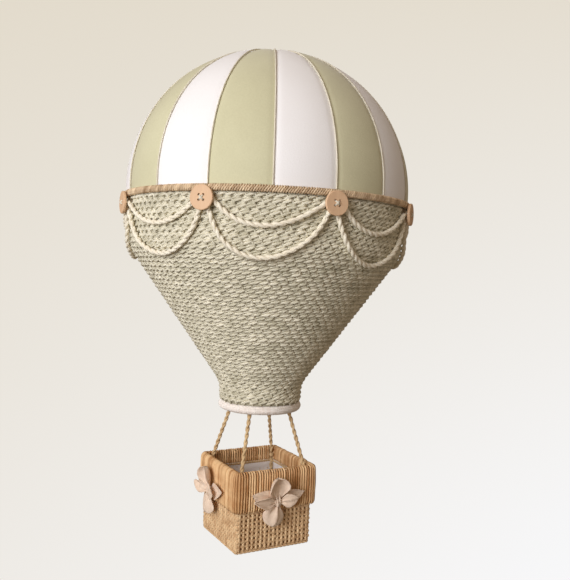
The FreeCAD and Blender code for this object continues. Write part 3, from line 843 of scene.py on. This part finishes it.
@dataclass
class Swags:
    """Two drooping cotton cords between neighbouring buttons, drawn in degrees and millimetres of depth."""

    diameter: float = 5.0 * MM
    stand_off: float = 0.8 * MM
    end_clearance: float = 0.5 * MM
    pitch: float = 15.5 * MM
    end_depths: tuple[float, float] = (9.5, 14.0)
    upper_end_inset: float = 1.8
    shapes: tuple[tuple[tuple[float, float], ...], ...] = (
        ((-14.5, 20.5), (-7.5, 29.3), (0.5, 32.4), (8.0, 28.8), (14.8, 19.9)),
        ((-18.8, 32.0), (-13.8, 48.2), (-6.8, 58.6), (0.6, 61.8), (7.6, 58.1), (14.3, 47.2), (19.0, 31.4)))
    spans: tuple[tuple[float, float, float, float], ...] = (
        (1.06, -2.3, 1.02, -0.7), (1.03, 1.0, 1.0, 1.2), (0.98, -1.4, 0.97, -1.8), (1.02, 0.6, 0.99, 2.0),
        (0.97, 1.6, 0.96, -0.8), (1.03, -1.0, 1.01, 0.9), (0.93, 1.5, 0.93, 1.8), (1.0, -2.4, 0.965, -3.0))

    def away(self, depth: float) -> float:
        """A swag's middle radius at a depth, clear of the skirt's slope."""
        radius, slope = SKIRT.run(depth)
        return radius + (self.diameter / 2 + self.stand_off) / math.cos(slope)

    def route(self, tier: int, span: int, end_angle: float) -> list[Vector]:
        """A swag's route over the skirt in one span.

        Args:
            tier: 0 for the upper swag, 1 for the lower.
            span: the span's number.
            end_angle: the degrees from the span's middle to the swag's ends.
        """
        middle = SPAN_START + (span + 0.5) * SPAN_ANGLE
        end_depth = self.end_depths[tier]
        droop, lean = self.spans[span][2 * tier:2 * tier + 2]
        route = [(-end_angle, end_depth)]
        for angle, depth in self.shapes[tier]:
            pull = lean * (1.0 - (angle / end_angle) ** 2)
            route.append((angle + pull, end_depth + (depth - end_depth) * droop))
        route.append((end_angle, end_depth))
        return [around(middle + angle, self.away(depth * MM), RIM_Z - depth * MM) for angle, depth in route]

    def build(self) -> None:
        """Make all sixteen cords."""
        apart = (self.diameter + self.end_clearance) / 2
        lower_end = SPAN_ANGLE / 2 - math.degrees(apart / self.away(self.end_depths[1] * MM))
        for span in range(SPAN_COUNT):
            for tier, end_angle in enumerate((lower_end - self.upper_end_inset, lower_end)):
                name = "swag_%s_%d" % (("upper", "lower")[tier], span + 1)
                cord = TwistedCord(name, self.route(tier, span, end_angle), self.diameter, self.pitch,
                                   SWAG_COTTON, 0.64, 0.12, 10 + 2 * span + tier)
                cord.build("envelope", "hanging", "limp")


@dataclass
class ButtonStitches:
    """Doubled thread crossed between each button's four holes."""

    face: float = 153.45 * MM
    depth: float = 9.4 * MM
    reach: float = 1.75 * MM
    thread: float = 0.52 * MM
    apart: float = 0.42
    rises: tuple[float, float] = (0.55, 1.35)

    def build(self) -> None:
        """Make the crossed stitches of all the buttons."""
        work = MeshWork()
        chance = np.random.default_rng(40)
        for number in range(SPAN_COUNT):
            angle = SPAN_START + number * SPAN_ANGLE
            out, run = outward(angle), outward(angle + 90.0)
            centre = around(angle, self.face, RIM_Z - self.depth)
            spin = math.radians(float(chance.uniform(-6.0, 6.0)))
            way = run * math.cos(spin) + UP * math.sin(spin)
            side = UP * math.cos(spin) - run * math.sin(spin)
            for arm, rise in zip((1.0, -1.0), self.rises):
                along = (way + side * arm).normalized() * math.sqrt(2.0)
                across = along.cross(out).normalized()
                outline = [(-1.08, -1.6), (-1.02, -0.4), (-0.7, 0.35), (0.0, rise), (0.7, 0.35),
                           (1.02, -0.4), (1.08, -1.6)]
                for pass_by in (-self.apart, self.apart):
                    line = [centre + along * self.reach * share + across * pass_by * MM * (1 - share ** 4)
                            + out * lift * MM for share, lift in outline]
                    work.sweep(resample(line, 0.4 * MM), self.thread, 6)
        work.place("button_stitches", CREAM_CORD, "envelope", "cream_cord", "button_threads")


@dataclass
class Ropes:
    """Four raffia ropes from the neck disc to the basket's corners, with their knots."""

    diameter: float = 4.4 * MM
    top_half: float = 21.567 * MM
    end_half: float = 37.6 * MM
    top_z: float = NECK_Z
    end_z: float = -436.5 * MM
    end_gap: float = 4.2 * MM
    knot_rise: float = 6.3 * MM
    top_knot: float = 4.2 * MM
    corner_knot: float = 3.0 * MM
    pitch: float = 13.5 * MM
    tail: float = 30.0 * MM
    tail_start: float = 3.9 * MM
    wisp_start: float = 3.8 * MM

    def knot(self, work: MeshWork, centre: Vector, axis: Vector, radius: float, seed: int) -> None:
        """A tight overhand knot: three wraps of strand round a core."""
        chance = np.random.default_rng(seed)
        side = axis.orthogonal().normalized()
        other = axis.cross(side)
        strand = radius * 0.42
        reach = radius - strand
        for loop_lean in (-38.0, 0.0, 38.0):
            lean = math.radians(loop_lean + chance.uniform(-6.0, 6.0))
            normal = (axis * math.cos(lean) + side * math.sin(lean)).normalized()
            across = normal.cross(other).normalized()
            line = [centre + reach * (other * math.cos(turn) + across * math.sin(turn))
                    for turn in full_turn(20)]
            work.sweep(line, strand, 7, closed=True)
        core = [centre - axis * reach * 0.6, centre, centre + axis * reach * 0.6]
        work.sweep(resample(core, reach * 0.3), radius * 0.62)

    def wisps(self, work: MeshWork, start: Vector, way: Vector, seed: int) -> None:
        """Loose raffia fibres that stand off a knot."""
        chance = np.random.default_rng(seed)
        for _ in range(5):
            aim = (way + Vector(chance.normal(0.0, 0.55, 3))).normalized()
            bend = Vector(chance.normal(0.0, 0.25, 3))
            size = 9.0 * MM * chance.uniform(0.5, 1.0)
            line = [start + (aim + bend * share) * size * share for share in np.linspace(0.0, 1.0, 7)]
            work.sweep(line, np.linspace(0.28, 0.12, 7) * MM, 4)

    def tail_end(self, work: MeshWork, inner: Vector, end: Vector, number: int) -> None:
        """A rope's tail laid down the basket's inside corner below its knot, with loose fibres."""
        start = end + UP * -self.tail_start
        low = start + UP * -self.tail - inner * 0.6 * MM
        line = resample([start, (start + low) / 2 - inner * 0.8 * MM, low], 1.3 * MM)
        chance = np.random.default_rng(90 + number)
        for strand in range(2):
            path = twisted(line, 1.0 * MM, self.pitch, strand / 2)
            work.sweep(path, 1.15 * MM * (1.0 + 0.12 * smooth_noise(chance, len(path), 5)), 7)
        self.wisps(work, end - UP * self.wisp_start, inner * 0.35 - UP, 100 + number)

    def build(self) -> None:
        """Make the ropes, their upper knots, corner knots and tails."""
        others = MeshWork()
        for number, (x, y) in enumerate(CORNERS, start=1):
            top = Vector((x * self.top_half, y * self.top_half, self.top_z))
            end = Vector((x * self.end_half, y * self.end_half, self.end_z))
            way = (end - top).normalized()
            name = "rope_%d" % number
            cord = TwistedCord(name, [top, end - way * self.end_gap], self.diameter, self.pitch, RAFFIA_ROPE,
                               0.56, 0.14, 60 + number)
            cord.build(name, "taut", "medium")
            tie = MeshWork()
            self.knot(tie, top - way * self.knot_rise, way, self.top_knot, 70 + number)
            tie.place("top_knot_%d" % number, RAFFIA_ROPE, "tie_%d" % number, "raffia_rope",
                      "rope_tie_%d" % number)
            work = MeshWork() if number == 1 else others
            self.knot(work, end, way, self.corner_knot, 80 + number)
            if number == 1:
                work.place("corner_knot_first", RAFFIA_ROPE, "knot_1", "raffia_rope", "corner_knot_1")
            self.tail_end(others, Vector((x, y, 0.0)).normalized(), end, number)
        others.place("corner_knots_and_tails", RAFFIA_ROPE, "basket", "raffia_rope", "corner_knots")


# Dome

@dataclass
class Dome:
    """Sixteen felt gores over a rigid shell, with a twisted cord piped over each seam."""

    radius: float = DOME_RADIUS
    crown_radius: float = 6.3 * MM
    seam_dip: float = 0.9 * MM
    seam_width: float = 1.3
    puff: float = 0.45 * MM
    ripple: float = 0.22 * MM
    rows: int = 72
    columns: int = 28
    piping_lift: float = 0.15 * MM

    def surface(self, angle: float, climb: float, share: float) -> Vector:
        """A point of the felt, sunk towards each seam.

        Args:
            angle: degrees round the axis.
            climb: radians above the dome's centre.
            share: the place across the gore, 0 and 1 at its seams.
        """
        edge = min(share, 1.0 - share) * GORE_ANGLE * math.cos(climb)
        middle = math.sin(math.pi * share)
        dip = self.seam_dip * math.exp(-((edge / self.seam_width) ** 2)) - self.puff * middle
        turn = math.radians(angle)
        ripple = self.ripple * math.sin(7.0 * turn + 5.0 * climb) * math.sin(3.0 * turn - 9.0 * climb)
        return self.point(angle, climb, self.radius - dip + ripple * middle)

    def point(self, angle: float, climb: float, radius: float) -> Vector:
        """A point at a distance from the dome's centre."""
        return around(angle, radius * math.cos(climb), DOME_CENTRE_Z + radius * math.sin(climb))

    def build(self) -> None:
        """Make the dome's cloth and the cords over its seams."""
        low = math.asin((RIM_Z - DOME_CENTRE_Z) / self.radius)
        high = math.acos(self.crown_radius / self.radius)
        for number in range(GORE_COUNT):
            finish = (SAGE_FELT, WHITE_FELT)[number % 2]
            name = "gore_%s_%02d" % (("sage", "white")[number % 2], number + 1)
            work = MeshWork()
            work.grid([[self.surface(ENVELOPE_TURN + GORE_ANGLE * (number + share), climb, share)
                        for share in np.linspace(0.0, 1.0, self.columns)]
                       for climb in np.linspace(high, low, self.rows)])
            made = work.place("felt_" + name, finish, "envelope", finish.name, name)

        piping = MeshWork()
        for number in range(GORE_COUNT):
            line = [self.point(ENVELOPE_TURN + number * GORE_ANGLE, climb, self.radius + self.piping_lift)
                    for climb in np.linspace(low + 0.02, high - 0.004, 150)]
            piping.two_ply(np.array(line), 0.4 * MM, 4.5 * MM, 0.5 * MM)
        piping.place("piping_cords", CREAM_CORD, "envelope", "cream_cord", "seam_piping")


# Rim

@dataclass
class Rim:
    """The thread-wrapped cord round the widest part."""

    inner: float = 146.1 * MM
    depth: float = 2.8 * MM
    half_height: float = 2.5 * MM
    thread: float = 0.92 * MM
    turns: int = 400
    slant: float = 3.8 * MM
    core: float = 2.1 * MM
    outline: tuple[tuple[float, float], ...] = (
        (-0.6, 0.92), (0.2, 1.0), (0.62, 0.86), (0.92, 0.45), (1.0, 0.0), (0.92, -0.45), (0.62, -0.86),
        (0.2, -1.0), (-0.6, -0.92))

    def build(self) -> None:
        """Lay slanted threads over the rim's top, outside and underside, and the core under them, coloured
        dark as painted shade in the gaps between threads.
        """
        thread = MeshWork()
        line = [(self.slant * up / 2, self.half_height * up, self.depth / 2 * out)
                for out, up in self.outline]
        thread.sweep(resample(line, 0.85 * MM), self.thread, 6, capped=False)
        middle = self.inner + self.depth / 2
        threads = lay("rim_threads", thread, Places.ring(self.turns, middle, RIM_Z), JUTE_WRAP, 0.03, 0.02, 3)
        settle(threads, "envelope", "jute_wrap", "equator_wrap")

        # The core's dark colour is painted shade seen between the threads.
        core = MeshWork()
        core.sweep([around(angle, middle - 0.6 * MM, RIM_Z) for angle in full_turn(240, 360)], self.core, 10,
                   closed=True)
        core.place("rim_core", JUTE_PAINTED_SHADE, "envelope", "jute_wrap")


# Skirt

@dataclass
class KnitSkirt:
    """Rounds of crochet over a dark sheet of painted shade that shows through the gaps: a fat slanting strand
    and three thinner ones for each stitch.

    The strands are drawn in millimetres, right along X, up along Y and out along Z, each with the radii at
    its points and the number of its sides.
    """

    stitch: float = 8.8 * MM
    round_height: float = 5.2 * MM
    inset: float = 1.0 * MM
    first: float = 5.2 * MM
    backing_inset: float = 1.75 * MM
    rounds_in_band: int = 9
    strands: tuple = (
        (((-5.2, -1.5, -0.9), (-3.7, -1.1, 0.1), (-1.6, -0.4, 0.7), (0.8, 0.25, 0.85), (2.9, 0.75, 0.5),
          (4.6, 0.85, -0.2), (5.8, 0.2, -1.1)), (0.85, 1.1, 1.3, 1.38, 1.25, 1.05, 0.8), 7),
        (((2.9, 1.2, -0.1), (4.5, 0.0, 0.35), (5.6, -1.8, 0.3), (6.6, -3.6, -0.5)),
         (0.85, 1.05, 1.05, 0.85), 6),
        (((-4.8, 0.9, -0.7), (-2.2, 1.8, -0.1), (0.6, 2.4, -0.05), (3.2, 2.3, -0.6)),
         (0.95, 1.15, 1.15, 0.95), 5),
        (((-4.2, 3.8, -0.9), (-0.4, 3.4, -0.45), (3.6, 3.5, -0.9)), (0.9, 1.15, 0.9), 5))

    def rounds(self) -> list[tuple[float, float, float]]:
        """Each round's radius, depth and lean in degrees."""
        line = SKIRT.points()
        along = lengths_along(line)
        found = []
        for distance in np.arange(self.first, along[-1], self.round_height):
            radii, depths = (np.interp([distance, distance - MM, distance + MM], along, line[:, part])
                             for part in (0, 1))
            lean = math.degrees(math.atan2(radii[1] - radii[2], depths[2] - depths[1]))
            found.append((float(radii[0]), float(depths[0]), lean))
        return found

    def build(self) -> None:
        """Make the sheet of painted shade under the stitches and all the rounds, some rounds to a piece."""
        # A dark sheet under the stitches, coloured as painted shade in the gaps.
        work = MeshWork()
        work.grid([[around(angle, radius - self.backing_inset, RIM_Z - depth)
                    for angle in full_turn(128, 360)]
                   for radius, depth in SKIRT.points()], closed=True)
        work.place("knit_backing", KNIT_PAINTED_SHADE, "envelope", "sage_knit")

        single = MeshWork()
        for points, radii, sides in self.strands:
            single.sweep(np.array(points) * MM, np.array(radii) * MM, sides)
        chance = np.random.default_rng(7)
        rounds = self.rounds()
        drift = 0.0
        for number, start in enumerate(range(0, len(rounds), self.rounds_in_band), start=1):
            places = Places()
            for radius, depth, lean in rounds[start:start + self.rounds_in_band]:
                count = int(round(TURN * radius / self.stitch))
                drift += 0.5 + float(chance.uniform(-0.13, 0.13))
                wide = TURN * radius / count / self.stitch
                for stitch in range(count):
                    angle = 360.0 * (stitch + drift + 0.05 * chance.uniform(-1, 1)) / count
                    out = outward(angle, lean)
                    place = around(angle, radius, RIM_Z - depth) - out * self.inset
                    place.z += 0.25 * MM * float(chance.uniform(-1, 1)) * math.cos(math.radians(lean))
                    places.put(place, out, outward(angle + 90.0), (wide, 1.0, 1.0))
            made = lay("knit_rounds_%d" % number, single, places, SAGE_YARN, 0.08, 0.07, number)
            settle(made, "envelope", "sage_knit", *(["knit_skirt"] if number == 1 else []))


# Neck

@dataclass
class Neck:
    """The ring at the skirt's mouth, close-wrapped with thread."""

    ring_radius: float = 39.1 * MM
    tube: float = 4.35 * MM
    turns: int = 226
    thread: float = 0.78 * MM
    slant: float = 0.35 * MM

    def build(self) -> None:
        """Lay the thread turns round the ring."""
        work = MeshWork()
        reach = self.tube - self.thread / 2
        work.sweep([(self.slant * math.sin(turn), reach * math.cos(turn), reach * math.sin(turn))
                    for turn in full_turn(20)], self.thread, 5, closed=True)
        places = Places.ring(self.turns, self.ring_radius, NECK_Z)
        made = lay("neck_threads", work, places, NECK_THREAD, 0.02, 0.02, 5)
        settle(made, "envelope", "neck_thread", "neck_wrap")


# Basket

@dataclass
class Basket:
    """An open-weave raffia box with a padded, strand-wrapped collar folded over its rim, and a lining."""

    collar_half: float = 47.9 * MM
    collar_corner: float = 8.0 * MM
    collar_top: float = -428.0 * MM
    collar_bottom: float = -468.5 * MM
    collar_depth: float = 7.9 * MM
    turn_in: float = -443.0 * MM
    strand: float = 1.0 * MM
    strand_pitch: float = 2.8 * MM
    box_half: float = 42.4 * MM
    box_top: float = -436.0 * MM
    box_bottom: float = -510.3 * MM
    weave_across: float = 4.9 * MM
    weave_up: float = 4.6 * MM
    padding: tuple[tuple[float, float], ...] = (
        (-6.0, -14.6), (-6.0, -3.4), (-5.0, -1.7), (-3.1, -1.7), (-1.5, -3.4), (-1.1, -10.0), (-0.9, -20.0),
        (-1.0, -32.0), (-1.4, -38.0), (-3.2, -39.2), (-4.6, -37.0))

    def square(self, half: float, corner: float, step: float) -> list[tuple[Vector, Vector]]:
        """Evenly spaced points and outward directions round a rounded square at height 0."""
        straight = 2.0 * (half - corner)
        arc = math.pi * corner / 2.0
        total = 4.0 * (straight + arc)
        count = int(round(total / step))
        found = []
        for number in range(count):
            side, along = divmod(total * number / count, straight + arc)
            if along < straight:
                out = Vector((0.0, -1.0, 0.0))
                point = Vector((-straight / 2 + along, -half, 0.0))
            else:
                turn = (along - straight) / corner
                out = Vector((math.sin(turn), -math.cos(turn), 0.0))
                point = Vector((straight / 2, -straight / 2, 0.0)) + out * corner
            found.append((quarter(side) @ point, quarter(side) @ out))
        return found

    def ring(self, half: float, corner: float, step: float, z: float, out_by: float = 0.0) -> list[Vector]:
        """Points round a rounded square at a height, moved outwards by some millimetres."""
        return [point + out * out_by * MM + UP * z for point, out in self.square(half, corner, step)]

    def loop(self, half: float, corner: float, step: float, z: float) -> Line:
        """A rounded square at a height, back to its first point."""
        ring = self.ring(half, corner, step, z)
        return np.array(ring + ring[:1])

    def collar_strand(self, variant: int) -> MeshWork:
        """One strand over the collar: up from inside, over the roll and down the outside, tucked under.

        It is drawn with X along the rim, Y up from the collar's foot and Z outwards from the outside face.
        """
        chance = np.random.default_rng(200 + variant)
        tall = self.collar_top - self.collar_bottom
        deep = self.collar_depth
        inside = self.collar_top - self.turn_in
        outline = [(-2.6 * MM, 0.9 * MM), (-0.9 * MM, 0.2 * MM), (-0.15 * MM, 2.4 * MM)]
        outline += [(0.5 * MM * math.sin(math.pi * share) - 0.2 * MM, tall * share)
                    for share in np.linspace(0.12, 0.88, 8)]
        outline += [(-0.3 * MM, tall - 4.2 * MM), (-1.0 * MM, tall - 2.2 * MM), (-2.5 * MM, tall - 1.0 * MM),
                    (-deep + 3.2 * MM, tall - 1.0 * MM), (-deep + 1.8 * MM, tall - 1.9 * MM),
                    (-deep + 1.2 * MM, tall - 3.8 * MM), (-deep + 1.0 * MM, tall - inside * 0.7),
                    (-deep + 1.0 * MM, tall - inside)]
        path = resample([(0.0, up, out) for out, up in outline], 1.9 * MM)
        path[:, 0] += 0.16 * MM * smooth_noise(chance, len(path), 6)
        path[:, 2] += 0.12 * MM * smooth_noise(chance, len(path), 4)
        work = MeshWork()
        work.sweep(path, self.strand * (1.0 + 0.12 * smooth_noise(chance, len(path), 5)), 7)
        return work

    def collar(self) -> None:
        """Lay the strands round the rim over a padded core, whose dark brown is painted shade in the gaps
        between strands, with a twisted cord along the inner edge.
        """
        places = [Places() for _ in range(4)]
        chance = np.random.default_rng(210)
        for point, out in self.square(self.collar_half - self.strand, self.collar_corner - self.strand,
                                      self.strand_pitch):
            foot = point + UP * (self.collar_bottom + self.strand)
            run = Vector((-out.y, out.x, 0.0))
            tall = 1.0 + float(chance.uniform(-0.005, 0.003))
            places[int(chance.integers(4))].put(foot, out, run, (float(chance.uniform(0.9, 1.08)), tall, 1.0))
        parts = [lay("collar_%d" % variant, self.collar_strand(variant), spots, RAFFIA_WRAP, 0.0, 0.003,
                     220 + variant) for variant, spots in enumerate(places)]
        settle(joined("collar_strands", parts), "basket", "raffia_wrap")

        # The padding's dark colour is painted shade seen between the strands.
        core = MeshWork()
        core.grid([self.ring(self.collar_half, self.collar_corner, 2.5 * MM, self.collar_top + up * MM,
                             out_by) for out_by, up in self.padding], closed=True)
        pad = core.place("collar_padding", RAFFIA_PAINTED_SHADE, "basket", "raffia_wrap", "basket_collar")

        edge = MeshWork()
        edge.two_ply(self.loop(self.box_half - 2.9 * MM, 1.5 * MM, 1.0 * MM, self.turn_in - 0.4 * MM),
                     0.7 * MM, 6.0 * MM, 0.85 * MM)
        edge.place("collar_inner_cord", RAFFIA_ROPE, "basket", "raffia_wrap")

    def stitch(self) -> MeshWork:
        """One stitch of the weave: a fat upright strand and a level one that passes behind it."""
        work = MeshWork()
        tall, wide = self.weave_up, self.weave_across
        upright = [(0.1, -0.62, -1.0), (0.0, -0.4, 0.05), (-0.05, 0.0, 0.45), (0.0, 0.4, 0.05),
                   (0.1, 0.62, -1.0)]
        level = [(-0.62, 0.5, -0.3), (-0.36, 0.44, 0.35), (0.0, 0.5, -0.3), (0.36, 0.56, 0.35),
                 (0.62, 0.5, -0.3)]
        for points, radii, sides, flat in ((upright, (1.1, 1.45, 1.55, 1.45, 1.1), 7, 1.0),
                                           (level, (1.2, 1.55, 1.3, 1.55, 1.2), 6, 0.9)):
            work.sweep([(x * wide, y * tall, z * MM) for x, y, z in points], np.array(radii) * MM, sides,
                       flat=flat)
        return work

    def box(self) -> None:
        """Lay the weave over the four sides, and a dark sheet behind it whose colour is painted shade in the
        holes.
        """
        places = Places()
        columns = int(round(2.0 * self.box_half / self.weave_across))
        rows = int(round((self.box_top - self.box_bottom - 3.0 * MM) / self.weave_up))
        for side in range(4):
            spin = quarter(side)
            for column in range(columns):
                across = (column + 0.5 - columns / 2) * 2.0 * (self.box_half - 1.2 * MM) / columns
                for row in range(rows):
                    up = self.box_bottom + 3.2 * MM + (row + 0.5) * self.weave_up
                    places.put(spin @ Vector((across, -(self.box_half - 1.1 * MM), up)),
                               spin @ Vector((0.0, -1.0, 0.0)), spin @ Vector((1.0, 0.0, 0.0)))
        made = lay("basket_weave", self.stitch(), places, RAFFIA_WEAVE, 0.12, 0.12, 230)
        settle(made, "basket", "raffia_weave", "basket_box")

        # A dark sheet behind the weave, coloured as painted shade in the holes.
        shade_sheet = MeshWork()
        shade_sheet.grid([self.ring(self.box_half - 1.9 * MM, 1.0 * MM, 3.0 * MM, z)
                      for z in (self.box_top, self.box_bottom + 0.6 * MM)], closed=True)
        shade_sheet.place("basket_backing", BASKET_PAINTED_SHADE, "basket", "raffia_weave")

    def foot(self) -> None:
        """The band round the box's foot, its four corner posts and the strips of its base."""
        foot = MeshWork()
        for level, radius in ((1.3, 1.25), (3.3, 0.95)):
            line = self.loop(self.box_half - 1.2 * MM, 1.6 * MM, 1.5 * MM, self.box_bottom + level * MM)
            foot.two_ply(line, 0.35 * MM, 9.0 * MM, (radius - 0.3) * MM)
        at = self.box_half - 1.6 * MM
        for x_side, y_side in CORNERS:
            post = [(x_side * at, y_side * at, z)
                    for z in np.linspace(self.box_bottom + 1.5 * MM, self.collar_bottom + 4 * MM, 24)]
            foot.sweep(post, 1.35 * MM, 7)
        base = self.box_half - 2.0 * MM
        for side in (0, 1):
            for place in np.arange(-base, base + 0.1 * MM, 2.6 * MM):
                strip = [quarter(side) @ Vector((x, place, self.box_bottom + (1.1 + side * 0.8) * MM))
                         for x in np.linspace(-base, base, 9)]
                foot.sweep(strip, 1.0 * MM, 5)
        foot.place("basket_foot_and_base", RAFFIA_WEAVE, "basket", "raffia_weave")

    def lining(self) -> None:
        """Cotton inside the box, a little slack between its corners."""
        half = self.box_half - 2.6 * MM
        rows = []
        for share in np.linspace(0.0, 1.0, 26):
            z = self.turn_in + 1.0 * MM + (self.box_bottom + 5.4 * MM - self.turn_in) * share
            ring = []
            for point, out in self.square(half, 1.2 * MM, 3.0 * MM):
                slack = 0.45 * MM * math.sin(95.0 * point.x + 30.0 * share) * math.sin(80.0 * point.y + 1.7)
                ring.append(point - out * (0.5 * MM + slack) + UP * z)
            rows.append(ring)
        work = MeshWork()
        work.grid(rows, closed=True, flip=True)
        made = work.place("lining_cloth", COTTON_LINING, "basket", "cotton_lining", "basket_lining")

    def build(self) -> None:
        """Make the whole basket."""
        self.collar()
        self.box()
        self.foot()
        self.lining()


# Flowers

@dataclass(frozen=True)
class Petal:
    """A cloth petal.

    Args:
        name: the piece's name, before its side's number.
        lean: its turn from level, in degrees.
        reach: its length from the flower's middle.
        width: its full width.
        point: how pointed its tip is, from 0 to 1.
        cup: how far its edges stand off its middle.
        lift: how far it stands off the basket.
        folds: the height of its folds.
        rolled: how far its edges roll, as a share.
        crease: the depth of its one long crease.
    """

    name: str
    lean: float
    reach: float
    width: float
    point: float
    cup: float
    lift: float
    folds: float = 0.0
    rolled: float = 0.0
    crease: float = 0.0

    def half_width(self, along: float) -> float:
        """Half the width at a share of its reach."""
        round_tip = math.sqrt(max(0.0, 1.0 - ((along - 0.56) / 0.44) ** 2)) if along > 0.56 else 1.0
        sharp_tip = max(0.0, 1.0 - ((along - 0.42) / 0.58) ** 1.35) if along > 0.42 else 1.0
        tip = self.point * sharp_tip + (1.0 - self.point) * round_tip
        base = 0.16 + 0.84 * smooth_step(along / (0.42 + 0.14 * (1.0 - self.point)))
        return self.width / 2 * base * tip

    def grid(self, seed: int, rows: int = 30, columns: int = 29) -> np.ndarray:
        """Its points, with X across the face, Y up it and Z out of it, about the flower's middle."""
        wave = np.random.default_rng(seed).uniform(-1.0, 1.0, 3)
        turn = math.radians(self.lean)
        found = []
        for along in np.linspace(0.03, 1.0, rows):
            half = max(self.half_width(along), 0.12 * MM)
            run = self.reach * along
            row = []
            for share in np.linspace(-1.0, 1.0, columns):
                side = half * share
                out = 2.4 * MM + self.lift * math.sin(math.pi * min(1.0, along * 0.62))
                out += self.cup * (share * share - 0.35) * smooth_step(along * 1.5) * (half / self.width * 2)
                gather = math.sin(share * 8.5 + wave[0]) * math.exp(-along * 3.2)
                out += (self.folds + 0.7 * MM) * gather
                out += self.folds * 0.9 * math.sin(share * 5.0 + wave[1]) * (1.0 - along) * along * 3.0
                out += 0.5 * MM * math.sin(along * 7.0 + wave[2] + share) * along
                valley = math.exp(-((share - 0.22 - 0.3 * along) / 0.13) ** 2)
                out -= self.crease * valley * (1.0 - 0.6 * along)
                if self.rolled:
                    out += self.rolled * 5.0 * MM * smooth_step((abs(share) - 0.55) / 0.45) * along
                    side *= 1.0 - 0.18 * self.rolled * smooth_step((abs(share) - 0.6) / 0.4)
                row.append((run * math.cos(turn) - side * math.sin(turn),
                            run * math.sin(turn) + side * math.cos(turn), max(out, 0.4 * MM)))
            found.append(row)
        return np.array(found)


@dataclass
class Flowers:
    """A cloth flower on each basket face, shifted along the face by its own amount."""

    face: float = 47.9 * MM
    z: float = -459.0 * MM
    cloth: float = 0.6 * MM
    across: tuple[float, float, float, float] = (-1.5 * MM, 3.5 * MM, -1.5 * MM, -7.0 * MM)
    petals: tuple[Petal, ...] = (
        Petal("right_leaf", 14.0, 31.5 * MM, 17.0 * MM, 0.9, 2.2 * MM, 1.4 * MM),
        Petal("left_leaf", 161.0, 32.0 * MM, 18.0 * MM, 0.9, -3.6 * MM, 3.2 * MM, 0.8 * MM),
        Petal("lower_petal", 253.0, 24.5 * MM, 25.5 * MM, 0.0, -4.6 * MM, 3.0 * MM, 1.5 * MM, 0.0, 1.7 * MM),
        Petal("upper_petal", 97.0, 25.5 * MM, 25.5 * MM, 0.0, 6.4 * MM, 4.0 * MM, 0.5 * MM, 0.75),
        Petal("left_fold", 172.0, 29.5 * MM, 12.5 * MM, 0.85, 5.0 * MM, 6.6 * MM, 0.3 * MM),
        Petal("folded_flap", 8.0, 20.5 * MM, 14.5 * MM, 0.45, -0.8 * MM, 7.4 * MM, 0.4 * MM))
    ridges: tuple[tuple[float, float, float, float, float], ...] = (
        (-3.4, 8.0, 0.6, -4.5, 5.6), (0.9, 8.5, 2.6, -4.0, 7.2), (-1.6, 4.5, -1.2, -6.5, 7.6),
        (2.8, 5.5, 1.4, -7.0, 5.6), (-4.8, 3.5, -0.6, -5.2, 5.2))

    def placed(self, points: np.ndarray, side: int) -> np.ndarray:
        """Points drawn on a face, moved to a side's own face."""
        local = np.stack([points[..., 0] + self.across[side], -(self.face + points[..., 2]),
                          self.z + points[..., 1]], -1)
        return local @ np.array(quarter(side).to_3x3()).T

    def centre(self, work: MeshWork, side: int) -> None:
        """The gathered middle: short folded ridges of cloth pulled together."""
        share = np.linspace(0.0, 1.0, 11)[:, None]
        thick = (0.35 + 0.95 * np.sin(np.linspace(0.0, math.pi, 11))) * MM
        for number, (x_top, y_top, x_low, y_low, out) in enumerate(self.ridges):
            bow = (-1.0) ** number * 0.9
            line = np.array([(x_top, y_top, 3.2), ((x_top + x_low) / 2 + bow, (y_top + y_low) / 2, out),
                             (x_low, y_low, 3.0)]) * MM
            work.sweep(self.placed(bezier(*line, share), side), thick)

    def build(self) -> None:
        """Make every petal of the four flowers, and their middles."""
        middles = MeshWork()
        for side in range(4):
            for number, petal in enumerate(self.petals):
                work = MeshWork()
                work.grid(self.placed(petal.grid(300 + number), side), flip=True)
                made = work.piece("%s_%d" % (petal.name, side + 1), LINEN_PETAL.material())
                wall = made.modifiers.new("Cloth", "SOLIDIFY")
                wall.thickness = self.cloth
                wall.offset = -1.0
                settle(made, "basket", "linen_petal", *(["flower_petals"] if side + number == 0 else []))
            self.centre(middles, side)
        middles.place("flower_middles", LINEN_PETAL, "basket", "linen_petal", "flower_centres")


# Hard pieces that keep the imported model's shapes

HARD_FINISHES = {"crown_eyelet": ANTIQUE_BRASS, "dome_shell": PAPIER_MACHE, "skirt_form": PAPIER_MACHE,
                 "equator_hoop": HOOP_WOOD, "neck_hoop": HOOP_WOOD, "neck_disc": STIFF_CARD,
                 "buttons": BUTTON_WOOD, "basket_floor": COTTON_LINING}


def dress_hard_pieces() -> None:
    """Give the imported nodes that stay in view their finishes."""
    for name, finish in HARD_FINISHES.items():
        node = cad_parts[name]
        node.data.materials.clear()
        node.data.materials.append(finish.material())
        LOG.info("%s: %s", name, finish.name)


def main() -> None:
    """Build the studio and the balloon in order."""
    logging.basicConfig(level=logging.INFO, format="%(name)s: %(message)s")
    for part in (Studio, Swags, ButtonStitches, Ropes, Dome, Rim, KnitSkirt, Neck, Basket, Flowers):
        part().build()
    dress_hard_pieces()


if __name__ == "__main__":
    main()
